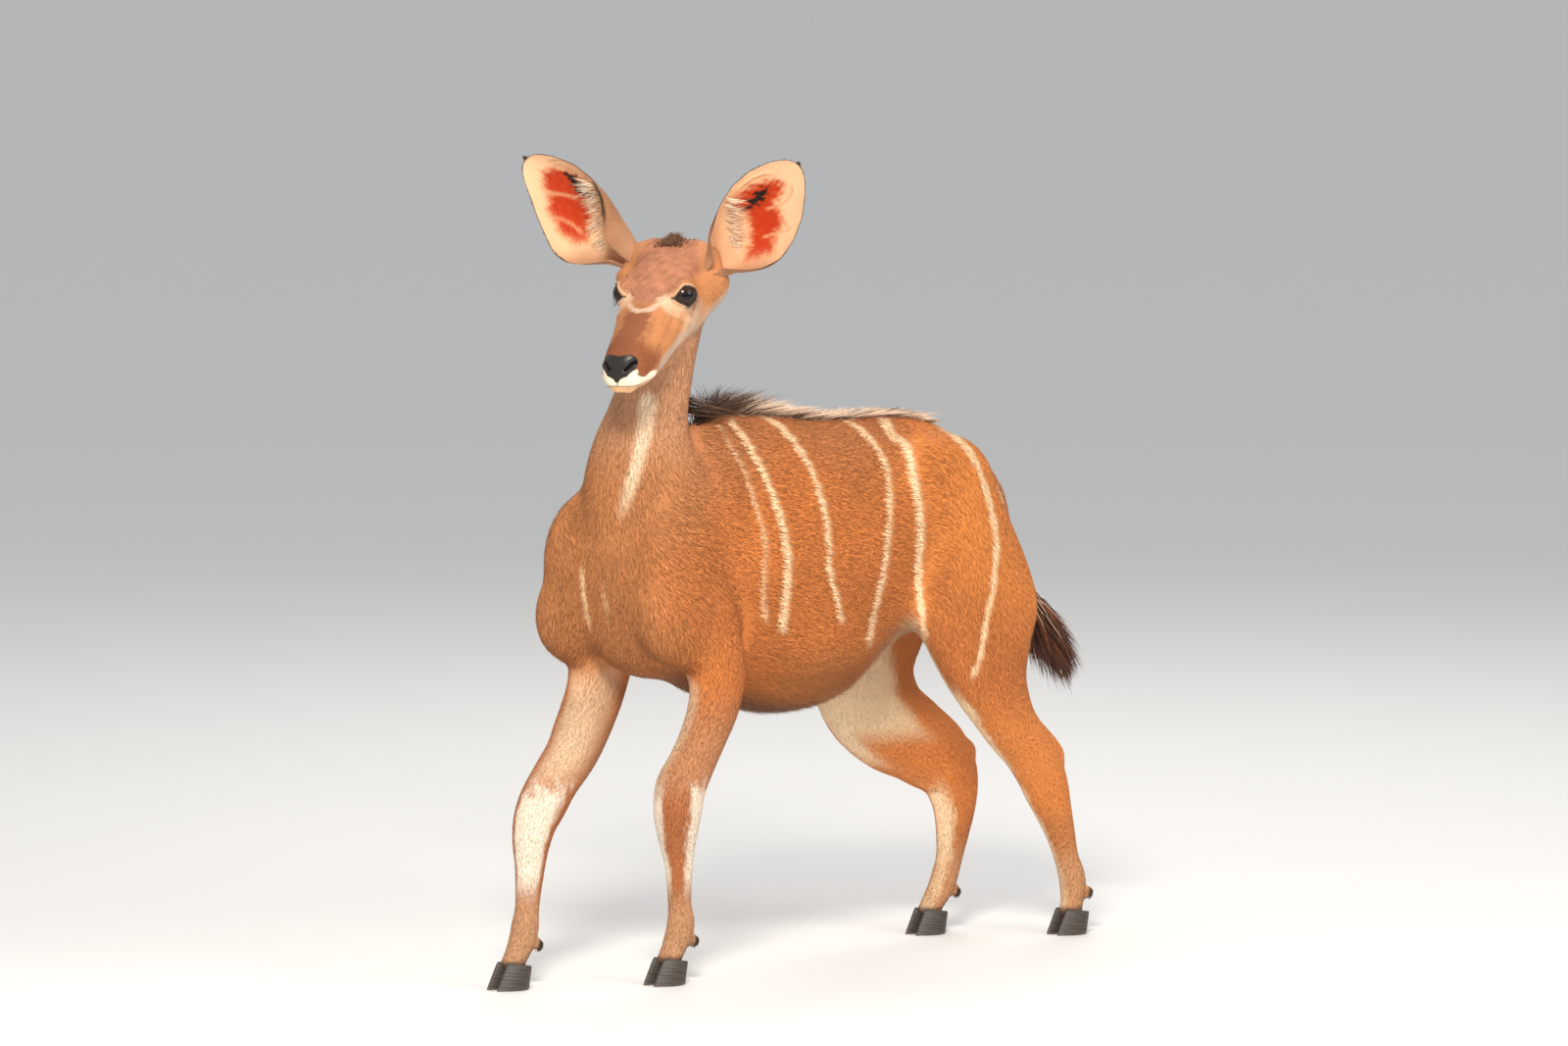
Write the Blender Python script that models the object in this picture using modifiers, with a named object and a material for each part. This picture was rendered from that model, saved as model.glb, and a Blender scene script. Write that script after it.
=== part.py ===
# Young greater kudu, a still life-size model that stands on four feet.
# Points are given as forward, left and up of the animal, and placed by one function.
import bpy
import bmesh
import numpy as np
from math import radians, sin, cos, tau, pi
from mathutils import Vector

# Sizes in metres
GAP = 0.0003            # the parting between neighbouring nodes
MERGE = 0.0000005       # points closer than this are one
BODY_VOXEL = 0.0045     # the net the body is gathered on
SHIFT_FORWARD = 0.0415  # moves the model so the middle of its bounding box is over the origin
SHIFT_LEFT = -0.0513
HEAD_YAW = 22.0         # degrees the head is turned to the animal's left
HEAD_PITCH = 44.0       # degrees the face line points below level
POLL = (0.291, 0.050, 1.198)
POLL_RISE = 0.030
EYE_RADIUS = 0.0225
EYE_NET = (10, 16)      # rings and sides, the same for the eye and its socket
EYE_PLACE = (0.1066, 0.0487, 0.0139)
EYE_AIM = (0.46, 0.77, 0.45)
EYE_LEVEL = (0.71, -0.62, 0.33)
EYE_WIDE = 0.0200       # half the opening of the lids, along and across
EYE_TALL = 0.0152
MUZZLE_SHIFT = -0.006   # the muzzle lies a little to the animal's right of the brow's middle
MOUTH_FRONT = (0.2945, 0.0015)    # along and height of the parting of the lips
MOUTH_CORNER = (0.216, -0.0385)
EAR_LENGTH = 0.207
EAR_THICK = 0.0045
EAR_OUT = {1: 0.088, -1: 0.097}   # from the middle of the head to the mouth of each ear
HOOF_LENGTH = 0.066
HOOF_HEIGHT = 0.040
FLESH_TRIANGLES = 5400
HEAD_TRIANGLES = 2500
LOCK_SEED = 7

for old in list(bpy.data.objects):
    bpy.data.objects.remove(old, do_unlink=True)


# Placing
def place(points):
    """Forward, left and up into the shared frame, which looks along minus Y."""
    p = np.asarray(points, float)
    return np.stack([p[..., 1] + SHIFT_LEFT, -(p[..., 0] + SHIFT_FORWARD), p[..., 2]], axis=-1)


yaw, pitch = radians(HEAD_YAW), radians(HEAD_PITCH)
FACING = np.array([cos(yaw), sin(yaw), 0.0])
HEAD_SIDE = np.array([-sin(yaw), cos(yaw), 0.0])
UP = np.array([0.0, 0.0, 1.0])
HEAD_ALONG = FACING * cos(pitch) - UP * sin(pitch)
HEAD_RISE = FACING * sin(pitch) + UP * cos(pitch)
HEAD_ROOT = np.array(POLL) - POLL_RISE * HEAD_RISE


def on_head(a, s, h):
    """Along the face from the poll, to the animal's left and out of the brow."""
    return HEAD_ROOT + a * HEAD_ALONG + s * HEAD_SIDE + h * HEAD_RISE


def unit(v):
    v = np.asarray(v, float)
    return v / np.linalg.norm(v)


# Shapes as vertices and faces
def fill(rows, step):
    """Rows of numbers filled in along a smooth curve."""
    rows = np.array(rows, float)
    out = []
    for i in range(len(rows) - 1):
        a, b = rows[max(i - 1, 0)], rows[i]
        c, d = rows[i + 1], rows[min(i + 2, len(rows) - 1)]
        n = max(1, int(round(np.linalg.norm(c[:3] - b[:3]) / step)))
        for k in range(n):
            t = k / n
            out.append(0.5 * (2 * b + (c - a) * t + (2 * a - 5 * b + 4 * c - d) * t * t
                              + (3 * b - a - 3 * c + d) * t ** 3))
    out.append(rows[-1])
    return np.array(out)


def tube(rows, side=(0, 1, 0), ring=32, step=0.01, dome=0.6):
    """A closed loft. A row is forward, left, up, half width, front, back, pinch in front,
    pinch behind and squareness."""
    rows = [list(r) + [0.0] * (9 - len(r)) for r in rows]
    rows = fill(rows, step)
    centre = rows[:, :3]
    along = np.gradient(centre, axis=0)
    along /= np.linalg.norm(along, axis=1)[:, None]
    verts, faces = [], []

    def add(c, t, row, scale):
        s = np.asarray(side, float)
        s = unit(s - s.dot(t) * t)
        u = np.cross(t, s)
        w, front, back, pinch_f, pinch_b, square = row[3:9]
        e = 2.0 / (2.0 + square)
        start = len(verts)
        for k in range(ring):
            x, y = cos(tau * k / ring), sin(tau * k / ring)
            sx = np.sign(x) * abs(x) ** e
            sy = np.sign(y) * abs(y) ** e
            wide = w * (1 - (pinch_f * sy if y > 0 else -pinch_b * sy))
            deep = front if y > 0 else back
            verts.append(c + scale * (s * wide * sx + u * deep * sy))
        return start

    starts = []
    cap = dome * (rows[0, 3] + rows[0, 4] + rows[0, 5]) / 3
    top = centre[0] - along[0] * cap
    for a in (75, 50, 25):
        starts.append(add(centre[0] - along[0] * cap * sin(radians(a)), along[0], rows[0], cos(radians(a))))
    for i in range(len(rows)):
        starts.append(add(centre[i], along[i], rows[i], 1.0))
    cap = dome * (rows[-1, 3] + rows[-1, 4] + rows[-1, 5]) / 3
    for a in (25, 50, 75):
        tip = centre[-1] + along[-1] * cap * sin(radians(a))
        starts.append(add(tip, along[-1], rows[-1], cos(radians(a))))
    verts.append(top)
    verts.append(centre[-1] + along[-1] * cap)
    first, last = len(verts) - 2, len(verts) - 1
    for i in range(len(starts) - 1):
        for k in range(ring):
            a, b = starts[i] + k, starts[i] + (k + 1) % ring
            c, d = starts[i + 1] + (k + 1) % ring, starts[i + 1] + k
            faces.append((a, b, c, d))
    for k in range(ring):
        faces.append((first, starts[0] + (k + 1) % ring, starts[0] + k))
        faces.append((last, starts[-1] + k, starts[-1] + (k + 1) % ring))
    return np.array(verts), faces


def ball(centre, radii, axes=((1, 0, 0), (0, 1, 0), (0, 0, 1)), rings=14, ring=24):
    """An ellipsoid on its own three axes."""
    axes = np.array([unit(a) for a in axes])
    centre = np.asarray(centre, float)
    verts = [centre + radii[2] * axes[2]]
    faces = []
    for i in range(1, rings):
        a = pi * i / rings
        for k in range(ring):
            b = tau * k / ring
            verts.append(centre + radii[0] * sin(a) * cos(b) * axes[0]
                         + radii[1] * sin(a) * sin(b) * axes[1] + radii[2] * cos(a) * axes[2])
    verts.append(centre - radii[2] * axes[2])
    for k in range(ring):
        faces.append((0, 1 + k, 1 + (k + 1) % ring))
        end = 1 + (rings - 2) * ring
        faces.append((len(verts) - 1, end + (k + 1) % ring, end + k))
    for i in range(rings - 2):
        for k in range(ring):
            a, b = 1 + i * ring + k, 1 + i * ring + (k + 1) % ring
            faces.append((a, a + ring, b + ring, b))
    if np.linalg.det(axes) < 0:
        faces = [face[::-1] for face in faces]
    return np.array(verts), faces


def head_ball(place_at, radii, turn=0.0):
    """An ellipsoid on the head's axes, turned in the side plane by some degrees."""
    t = radians(turn)
    a = HEAD_ALONG * cos(t) + HEAD_SIDE * sin(t)
    s = HEAD_SIDE * cos(t) - HEAD_ALONG * sin(t)
    return ball(on_head(*place_at), radii, (a, s, HEAD_RISE))


# Making and cutting objects
def make(name, verts, faces, placed=False):
    mesh = bpy.data.meshes.new(name)
    mesh.from_pydata((verts if placed else place(verts)).tolist(), [], [list(f) for f in faces])
    mesh.update()
    obj = bpy.data.objects.new(name, mesh)
    bpy.context.collection.objects.link(obj)
    return obj


def gather(pieces):
    verts, faces, n = [], [], 0
    for v, f in pieces:
        verts.append(v)
        faces += [tuple(i + n for i in face) for face in f]
        n += len(v)
    return np.concatenate(verts), faces


def bake(obj):
    """The object's modifiers made part of its mesh."""
    bpy.context.view_layer.update()
    graph = bpy.context.evaluated_depsgraph_get()
    mesh = bpy.data.meshes.new_from_object(obj.evaluated_get(graph))
    obj.modifiers.clear()
    obj.data = mesh
    return obj


def union(obj, others, solver="EXACT"):
    """One union of an object with a collection of closed pieces."""
    group = bpy.data.collections.new("pieces")
    for other in others:
        group.objects.link(other)
    mod = obj.modifiers.new("join", "BOOLEAN")
    mod.operation = "UNION"
    mod.operand_type = "COLLECTION"
    mod.collection = group
    mod.solver = solver
    bake(obj)
    drop(*others)
    bpy.data.collections.remove(group)
    return largest(triangles(obj))


def drop(*objects):
    for obj in objects:
        bpy.data.objects.remove(obj, do_unlink=True)


def boolean(obj, other, operation, solver="EXACT"):
    mod = obj.modifiers.new("cut", "BOOLEAN")
    mod.operation = operation
    mod.solver = solver
    mod.object = other
    bake(obj)
    return obj


def triangles(obj):
    bm = bmesh.new()
    bm.from_mesh(obj.data)
    bmesh.ops.triangulate(bm, faces=bm.faces)
    bmesh.ops.remove_doubles(bm, verts=bm.verts, dist=MERGE)
    bm.to_mesh(obj.data)
    bm.free()
    return obj


def largest(obj):
    """Only the biggest closed surface stays."""
    bm = bmesh.new()
    bm.from_mesh(obj.data)
    bm.verts.ensure_lookup_table()
    seen, groups = set(), []
    for v in bm.verts:
        if v.index in seen:
            continue
        stack, group = [v], []
        seen.add(v.index)
        while stack:
            w = stack.pop()
            group.append(w)
            for e in w.link_edges:
                o = e.other_vert(w)
                if o.index not in seen:
                    seen.add(o.index)
                    stack.append(o)
        groups.append(group)
    groups.sort(key=len, reverse=True)
    for group in groups[1:]:
        bmesh.ops.delete(bm, geom=group, context="VERTS")
    bm.to_mesh(obj.data)
    bm.free()
    return obj


def copy(obj, name):
    new = obj.copy()
    new.data = obj.data.copy()
    new.name = name
    bpy.context.collection.objects.link(new)
    return new


def swollen(obj, by):
    """A helper copy whose surface lies a little outside the first."""
    new = copy(obj, obj.name + " swollen")
    count = len(new.data.vertices)
    co = np.empty(count * 3)
    no = np.empty(count * 3)
    new.data.vertices.foreach_get("co", co)
    new.data.vertex_normals.foreach_get("vector", no)
    new.data.vertices.foreach_set("co", co + no * by)
    new.data.update()
    return new


def block(low, high, axes=((1, 0, 0), (0, 1, 0), (0, 0, 1)), origin=(0, 0, 0), grow=0.0):
    """A box between two corners, on its own axes."""
    axes = np.array([unit(a) for a in axes])
    verts = []
    for i in (0, 1):
        for j in (0, 1):
            for k in (0, 1):
                p = [(low[n] - grow) if not c else (high[n] + grow) for n, c in enumerate((i, j, k))]
                verts.append(np.asarray(origin, float) + p[0] * axes[0] + p[1] * axes[1] + p[2] * axes[2])
    faces = [(0, 1, 3, 2), (4, 6, 7, 5), (0, 4, 5, 1), (2, 3, 7, 6), (0, 2, 6, 4), (1, 5, 7, 3)]
    return make("block", np.array(verts), faces)


def part_off(obj, name, low, high, **turn):
    """What lies in a box becomes its own node, a thin cut away from the rest."""
    new = copy(obj, name)
    inner = block(low, high, **turn)
    boolean(new, inner, "INTERSECT")
    outer = block(low, high, grow=GAP, **turn)
    boolean(obj, outer, "DIFFERENCE")
    drop(inner, outer)
    largest(triangles(new))
    largest(triangles(obj))
    return new


# The animal's soft outline
def torso_pieces():
    back = [
        # forward, left, height of the widest level, half width, up, down, pinch up, pinch down, square
        (-0.452, 0, 0.700, 0.048, 0.075, 0.10, 0.2, 0.1, 0.2),
        (-0.430, 0, 0.700, 0.070, 0.110, 0.13, 0.2, 0.1, 0.2),
        (-0.390, 0, 0.700, 0.092, 0.143, 0.155, 0.3, 0.1, 0.2),
        (-0.340, 0, 0.700, 0.108, 0.168, 0.170, 0.35, 0.1, 0.2),
        (-0.280, 0, 0.700, 0.114, 0.184, 0.175, 0.35, 0.1, 0.2),
        (-0.210, 0, 0.695, 0.116, 0.197, 0.180, 0.30, 0.1, 0.2),
        (-0.140, 0, 0.680, 0.121, 0.216, 0.200, 0.30, 0.1, 0.2),
        (-0.050, 0, 0.660, 0.128, 0.239, 0.236, 0.30, 0.1, 0.2),
        (0.030, 0, 0.655, 0.130, 0.247, 0.242, 0.35, 0.15, 0.2),
        (0.110, 0, 0.660, 0.126, 0.252, 0.230, 0.42, 0.25, 0.2),
        (0.180, 0, 0.665, 0.118, 0.248, 0.217, 0.50, 0.38, 0.2),
        (0.250, 0, 0.665, 0.112, 0.205, 0.205, 0.45, 0.45, 0.3),
        (0.310, 0, 0.655, 0.110, 0.150, 0.180, 0.3, 0.40, 0.5),
        (0.355, 0, 0.645, 0.100, 0.110, 0.162, 0.2, 0.35, 0.8),
        (0.385, 0, 0.640, 0.080, 0.080, 0.138, 0.1, 0.30, 0.8),
    ]
    neck = [
        (0.255, 0.000, 0.580, 0.096, 0.125, 0.122, 0.0, 0.1, 0.6),
        (0.272, 0.000, 0.660, 0.104, 0.130, 0.124, 0.0, 0.3, 0.8),
        (0.294, -0.004, 0.735, 0.113, 0.124, 0.121, 0.0, 0.45, 0.9),
        (0.308, -0.009, 0.800, 0.104, 0.108, 0.107, 0.0, 0.45, 0.8),
        (0.312, -0.005, 0.860, 0.083, 0.087, 0.086, 0.0, 0.36, 0.6),
        (0.305, 0.012, 0.930, 0.056, 0.069, 0.071, 0.0, 0.25, 0.3),
        (0.295, 0.026, 1.000, 0.048, 0.060, 0.063, 0.0, 0.20, 0.1),
        (0.288, 0.038, 1.060, 0.050, 0.058, 0.058, 0.0, 0.15, 0.1),
        (0.282, 0.045, 1.110, 0.052, 0.054, 0.050, 0.0, 0.15, 0.0),
        (0.278, 0.048, 1.150, 0.048, 0.042, 0.042, 0.0, 0.20, 0.0),
    ]
    pieces = [tube(back, step=0.02, ring=40, dome=0.35), tube(neck, step=0.02, ring=36)]
    # shoulder blades and the points of the shoulders
    for side, ahead in ((1, 0.0), (-1, 0.056)):
        lean = ((0.45, 0, -1), (0, 1, 0), (1, 0, 0.45))
        pieces.append(ball((0.225 + ahead, side * 0.070, 0.690), (0.135, 0.042, 0.090), lean))
        pieces.append(ball((0.300 + ahead, side * 0.082, 0.670), (0.090, 0.052, 0.125)))
        pieces.append(ball((0.314 + ahead, side * 0.093, 0.590), (0.086, 0.047, 0.090)))
        # hip
        pieces.append(ball((-0.300, side * 0.062, 0.750), (0.120, 0.056, 0.110)))
    return pieces


FORE_LEFT = [
    (0.285, 0.085, 0.640, 0.042, 0.070, 0.075),
    (0.255, 0.092, 0.560, 0.044, 0.066, 0.070),
    (0.238, 0.096, 0.500, 0.043, 0.057, 0.058),
    (0.244, 0.097, 0.450, 0.041, 0.049, 0.048),
    (0.264, 0.094, 0.400, 0.037, 0.043, 0.041),
    (0.286, 0.090, 0.355, 0.036, 0.042, 0.040),
    (0.305, 0.086, 0.318, 0.039, 0.046, 0.042),
    (0.309, 0.083, 0.285, 0.038, 0.045, 0.042),
    (0.308, 0.080, 0.255, 0.034, 0.040, 0.038),
    (0.305, 0.077, 0.225, 0.028, 0.033, 0.032),
    (0.302, 0.076, 0.190, 0.0220, 0.0255, 0.0255),
    (0.299, 0.074, 0.130, 0.0185, 0.0205, 0.0220),
    (0.296, 0.073, 0.098, 0.0215, 0.0235, 0.0265),
    (0.301, 0.072, 0.075, 0.0220, 0.0230, 0.0250),
    (0.312, 0.071, 0.052, 0.0205, 0.0200, 0.0205),
    (0.320, 0.070, 0.034, 0.0215, 0.0205, 0.0195),
]
FORE_RIGHT = [
    (0.318, -0.086, 0.640, 0.044, 0.074, 0.078),
    (0.310, -0.095, 0.560, 0.045, 0.072, 0.072),
    (0.312, -0.099, 0.500, 0.044, 0.064, 0.063),
    (0.332, -0.097, 0.450, 0.043, 0.057, 0.056),
    (0.361, -0.091, 0.405, 0.041, 0.052, 0.052),
    (0.392, -0.084, 0.365, 0.039, 0.045, 0.048),
    (0.433, -0.077, 0.325, 0.038, 0.043, 0.043),
    (0.462, -0.072, 0.292, 0.037, 0.044, 0.043),
    (0.482, -0.069, 0.262, 0.033, 0.040, 0.039),
    (0.492, -0.067, 0.230, 0.029, 0.034, 0.034),
    (0.497, -0.065, 0.190, 0.0235, 0.0265, 0.0270),
    (0.505, -0.063, 0.130, 0.0190, 0.0215, 0.0230),
    (0.511, -0.062, 0.098, 0.0215, 0.0235, 0.0265),
    (0.518, -0.061, 0.075, 0.0220, 0.0230, 0.0250),
    (0.531, -0.060, 0.052, 0.0205, 0.0200, 0.0205),
    (0.540, -0.060, 0.034, 0.0215, 0.0205, 0.0195),
]
HIND_LEFT = [
    (-0.3, 0.068, 0.76, 0.045, 0.09, 0.11),
    (-0.31, 0.078, 0.68, 0.052, 0.112, 0.135),
    (-0.322, 0.087, 0.6, 0.055, 0.116, 0.152),
    (-0.335, 0.095, 0.53, 0.054, 0.106, 0.152),
    (-0.352, 0.101, 0.47, 0.05, 0.082, 0.118),
    (-0.378, 0.104, 0.415, 0.043, 0.060, 0.078),
    (-0.416, 0.102, 0.365, 0.037, 0.051, 0.057),
    (-0.458, 0.098, 0.325, 0.033, 0.048, 0.051),
    (-0.491, 0.095, 0.288, 0.032, 0.048, 0.048),
    (-0.513, 0.092, 0.252, 0.031, 0.045, 0.045),
    (-0.532, 0.089, 0.215, 0.027, 0.037, 0.037),
    (-0.551, 0.086, 0.175, 0.0225, 0.0290, 0.0300),
    (-0.569, 0.083, 0.13, 0.0195, 0.0230, 0.0245),
    (-0.583, 0.081, 0.098, 0.0215, 0.0240, 0.0265),
    (-0.588, 0.08, 0.075, 0.0220, 0.0235, 0.0250),
    (-0.586, 0.08, 0.052, 0.0205, 0.0200, 0.0205),
    (-0.582, 0.08, 0.034, 0.0215, 0.0205, 0.0195),
]
HIND_RIGHT = [
    (-0.285, -0.068, 0.76, 0.045, 0.09, 0.11),
    (-0.28, -0.082, 0.68, 0.052, 0.115, 0.13),
    (-0.275, -0.092, 0.6, 0.055, 0.12, 0.140),
    (-0.272, -0.1, 0.53, 0.054, 0.120, 0.145),
    (-0.276, -0.107, 0.47, 0.053, 0.117, 0.142),
    (-0.298, -0.11, 0.41, 0.049, 0.104, 0.116),
    (-0.342, -0.108, 0.362, 0.043, 0.090, 0.084),
    (-0.398, -0.103, 0.325, 0.037, 0.076, 0.074),
    (-0.446, -0.098, 0.292, 0.034, 0.069, 0.068),
    (-0.470, -0.094, 0.256, 0.032, 0.061, 0.060),
    (-0.476, -0.091, 0.215, 0.028, 0.048, 0.048),
    (-0.470, -0.088, 0.17, 0.0240, 0.0350, 0.0360),
    (-0.460, -0.086, 0.125, 0.0210, 0.0255, 0.0270),
    (-0.448, -0.084, 0.096, 0.0215, 0.0240, 0.0265),
    (-0.437, -0.083, 0.074, 0.0220, 0.0235, 0.0250),
    (-0.419, -0.082, 0.052, 0.0205, 0.0200, 0.0205),
    (-0.409, -0.082, 0.034, 0.0215, 0.0205, 0.0195),
]
HEELS = {"hindleg_left": (-0.042, 0, 0.020), "hindleg_right": (-0.068, 0, 0.010)}
LEGS = {"foreleg_left": FORE_LEFT, "foreleg_right": FORE_RIGHT,
        "hindleg_left": HIND_LEFT, "hindleg_right": HIND_RIGHT}


def head_pieces():
    skull = [
        # along the face, shift, height, half width, up, down, pinch up, pinch down, square
        (-0.026, 0.0, -0.030, 0.036, 0.028, 0.030, 0.0, 0.2, 0.0),
        (-0.010, 0.0, -0.026, 0.050, 0.042, 0.052, 0.0, 0.2, 0.0),
        (0.018, 0.0, -0.022, 0.058, 0.054, 0.064, 0.1, 0.15, 0.1),
        (0.046, 0.0, -0.020, 0.062, 0.063, 0.067, 0.1, 0.2, 0.2),
        (0.076, 0.0, -0.018, 0.0645, 0.064, 0.068, 0.1, 0.25, 0.3),
        (0.106, 0.0, -0.016, 0.065, 0.059, 0.067, 0.1, 0.3, 0.3),
        (0.136, 0.0, -0.014, 0.063, 0.053, 0.064, 0.15, 0.35, 0.3),
        (0.166, -0.001, -0.012, 0.058, 0.0480, 0.060, 0.15, 0.35, 0.3),
        (0.196, -0.002, -0.011, 0.0520, 0.0465, 0.057, 0.15, 0.3, 0.3),
        (0.226, -0.004, -0.010, 0.0465, 0.0460, 0.049, 0.15, 0.25, 0.3),
        (0.246, -0.005, -0.008, 0.0430, 0.0440, 0.041, 0.1, 0.2, 0.35),
        (0.258, -0.006, -0.007, 0.0400, 0.0390, 0.035, 0.1, 0.2, 0.4),
        (0.268, -0.006, -0.007, 0.0370, 0.0330, 0.0310, 0.1, 0.2, 0.4),
        (0.277, -0.006, -0.008, 0.0335, 0.0270, 0.0270, 0.1, 0.2, 0.4),
        (0.285, -0.006, -0.009, 0.0285, 0.0200, 0.0225, 0.1, 0.2, 0.4),
        (0.291, -0.006, -0.009, 0.0215, 0.0130, 0.0170, 0.1, 0.2, 0.4),
        (0.295, -0.006, -0.009, 0.0120, 0.0070, 0.0100, 0.1, 0.2, 0.4),
    ]
    rows = []
    for a, s, h, w, up, down, pu, pd, sq in skull:
        rows.append(tuple(on_head(a, s, h)) + (w, up, down, pu, pd, sq))
    pieces = [tube(rows, side=HEAD_SIDE, step=0.006, ring=40, dome=0.3)]
    for side in (1, -1):
        a, s, h = EYE_PLACE
        # ring of bone round the eye, brow, jaw angle and cheek
        pieces.append(head_ball((a, side * s, h), (0.0270, 0.0262, 0.0258)))
        pieces.append(head_ball((a - 0.020, side * 0.040, h + 0.004), (0.032, 0.020, 0.020)))
        pieces.append(head_ball((a + 0.022, side * 0.044, h - 0.014), (0.036, 0.018, 0.020)))
        pieces.append(head_ball((0.078, side * 0.040, -0.046), (0.050, 0.020, 0.038)))
        pieces.append(head_ball((0.155, side * 0.036, -0.022), (0.055, 0.018, 0.028), -side * 12))
        # side of the muzzle above the corner of the mouth
        pieces.append(head_ball((0.236, side * 0.0250, -0.016), (0.034, 0.0170, 0.0180)))
        # root of the ear, and the flesh between it and the jaw
        out = side * EAR_OUT[side]
        root = on_head(0.012, side * 0.036, -0.004)
        mouth = np.array(POLL) - 0.010 * FACING + out * HEAD_SIDE - 0.027 * UP
        way = mouth - root
        stem = []
        for t, w, d in ((0.0, 0.038, 0.034), (0.3, 0.034, 0.030), (0.55, 0.027, 0.023), (0.75, 0.021, 0.018)):
            stem.append(tuple(root + way * t) + (w, d, d))
        pieces.append(tube(stem, side=UP, step=0.008, ring=24))
        pieces.append(head_ball((0.020, side * 0.036, -0.050), (0.044, 0.026, 0.042)))
        web = []
        for t, below, w in ((0.92, 0.032, 0.019), (0.74, 0.041, 0.025),
                            (0.45, 0.054, 0.028), (0.10, 0.074, 0.024)):
            web.append(tuple(root + way * t - below * UP) + (w, w, w))
        pieces.append(tube(web, side=HEAD_ALONG, step=0.008, ring=24))
    pieces.append(head_ball((0.010, 0, 0.018), (0.030, 0.024, 0.014)))
    return pieces


def leg_pieces():
    pieces = []
    for name, rows in LEGS.items():
        pieces.append(tube(rows, step=0.012, ring=24, dome=0.5))
        f, l, u = rows[-3][:3]
        for side in (1, -1):
            pieces.append(ball((f - 0.027, l + side * 0.012, u - 0.008), (0.009, 0.0075, 0.011)))
        if name.startswith("hind"):
            # point of the hock and the tendon above it
            hock, gaskin = np.array(rows[8][:3]), np.array(rows[6][:3])
            heel = hock + HEELS[name]
            cord = [tuple(gaskin + np.array([-0.030, 0, 0.020])) + (0.013, 0.013, 0.013),
                    tuple(heel) + (0.015, 0.014, 0.014),
                    tuple(hock + np.array([-0.022, 0, -0.030])) + (0.014, 0.014, 0.014)]
            pieces.append(tube(cord, step=0.01, ring=16))
    return pieces


def relax(obj, rounds, spots=()):
    """Evens the net without shrinking it, then softens the joins at some spots."""
    mesh = obj.data
    count = len(mesh.vertices)
    co = np.empty(count * 3)
    mesh.vertices.foreach_get("co", co)
    co = co.reshape(-1, 3)
    edges = np.empty(len(mesh.edges) * 2, dtype=np.int64)
    mesh.edges.foreach_get("vertices", edges)
    a, b = edges.reshape(-1, 2).T
    near = np.bincount(a, minlength=count) + np.bincount(b, minlength=count)

    def step(share):
        total = np.stack([np.bincount(a, co[b, k], count) + np.bincount(b, co[a, k], count)
                          for k in range(3)], axis=1)
        return share * (total / near[:, None] - co)

    for _ in range(rounds):
        co += step(0.5)
        co += step(-0.53)
    if spots:
        weight = np.zeros(count)
        for point, radius, power in spots:
            d = np.linalg.norm(co - place(point), axis=1) / radius
            weight = np.maximum(weight, power * np.clip(1.5 - 1.5 * d, 0, 1))
        trunk = np.clip((co[:, 2] - 0.50) / 0.05, 0, 1) * np.clip((0.92 - co[:, 2]) / 0.10, 0, 1)
        trunk = trunk * np.clip((0.46 - abs(co[:, 1] - place((0.0, 0, 0))[1])) / 0.05, 0, 1)
        weight = np.maximum(weight, 0.7 * trunk)
        face = np.linalg.norm(co - place(on_head(0.16, 0, -0.01)), axis=1)
        face = 0.12 * np.clip((0.20 - face) / 0.04, 0, 1)
        weight = np.maximum(weight, face)
        for _ in range(110):
            co += step(0.5) * weight[:, None]
    mesh.vertices.foreach_set("co", co.ravel())
    mesh.update()


SOFT_SPOTS = (
    ((0.30, 0.10, 0.52), 0.15, 1.0), ((0.33, -0.10, 0.52), 0.15, 1.0),
    ((0.22, 0.04, 0.48), 0.10, 1.0), ((0.25, -0.04, 0.48), 0.10, 1.0),
    ((-0.24, 0.10, 0.55), 0.18, 1.0), ((-0.20, -0.10, 0.55), 0.18, 1.0),
    ((-0.34, 0.0, 0.55), 0.14, 1.0), ((0.28, 0.0, 0.80), 0.20, 1.0),
    ((0.16, 0.0, 0.86), 0.18, 1.0), ((0.25, 0.10, 0.70), 0.20, 1.0),
    ((0.28, -0.10, 0.70), 0.20, 1.0), ((-0.40, 0.0, 0.74), 0.18, 1.0),
    ((-0.28, 0.08, 0.74), 0.18, 1.0), ((-0.28, -0.08, 0.74), 0.18, 1.0),
    ((0.38, 0.0, 0.62), 0.18, 1.0), ((0.30, 0.04, 1.06), 0.10, 0.6),
)
EAR_SPOTS = tuple((tuple(on_head(0.0, side * 0.055, -0.020)), 0.075, 0.5) for side in (1, -1))


# Strokes that press or raise the head: along, side, height, radius, how far out, both sides or one
STROKES = [
    # lower lip and chin set back from the upper lip
    (0.289, 0.0, -0.024, 0.014, -0.0030, 0),
    (0.270, 0.018, -0.034, 0.012, -0.0020, 1),
    # nostril wings and the dip above the pad
    (0.262, 0.027, 0.016, 0.012, 0.0030, 1),
    (0.246, 0.000, 0.036, 0.012, -0.0010, 0),
    # upper lip pads beside the cleft
    (0.284, 0.017, 0.002, 0.011, 0.0025, 1),
    (0.268, 0.034, -0.008, 0.014, 0.0025, 1),
    (0.244, 0.042, -0.020, 0.016, 0.0020, 1),
    # mouth corner fold, hollow before the eye and the ridge under it
    (0.210, 0.046, -0.036, 0.012, -0.0025, 1),
    (0.160, 0.050, 0.012, 0.018, -0.0020, 1),
    (0.190, 0.052, -0.004, 0.022, -0.0010, 1),
    (0.148, 0.062, -0.016, 0.018, 0.0015, 1),
    # temple behind the eye and the hollow of the cheek
    (0.060, 0.060, 0.008, 0.020, -0.0030, 1),
    (0.200, 0.044, -0.045, 0.022, -0.0015, 1),
]


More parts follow.
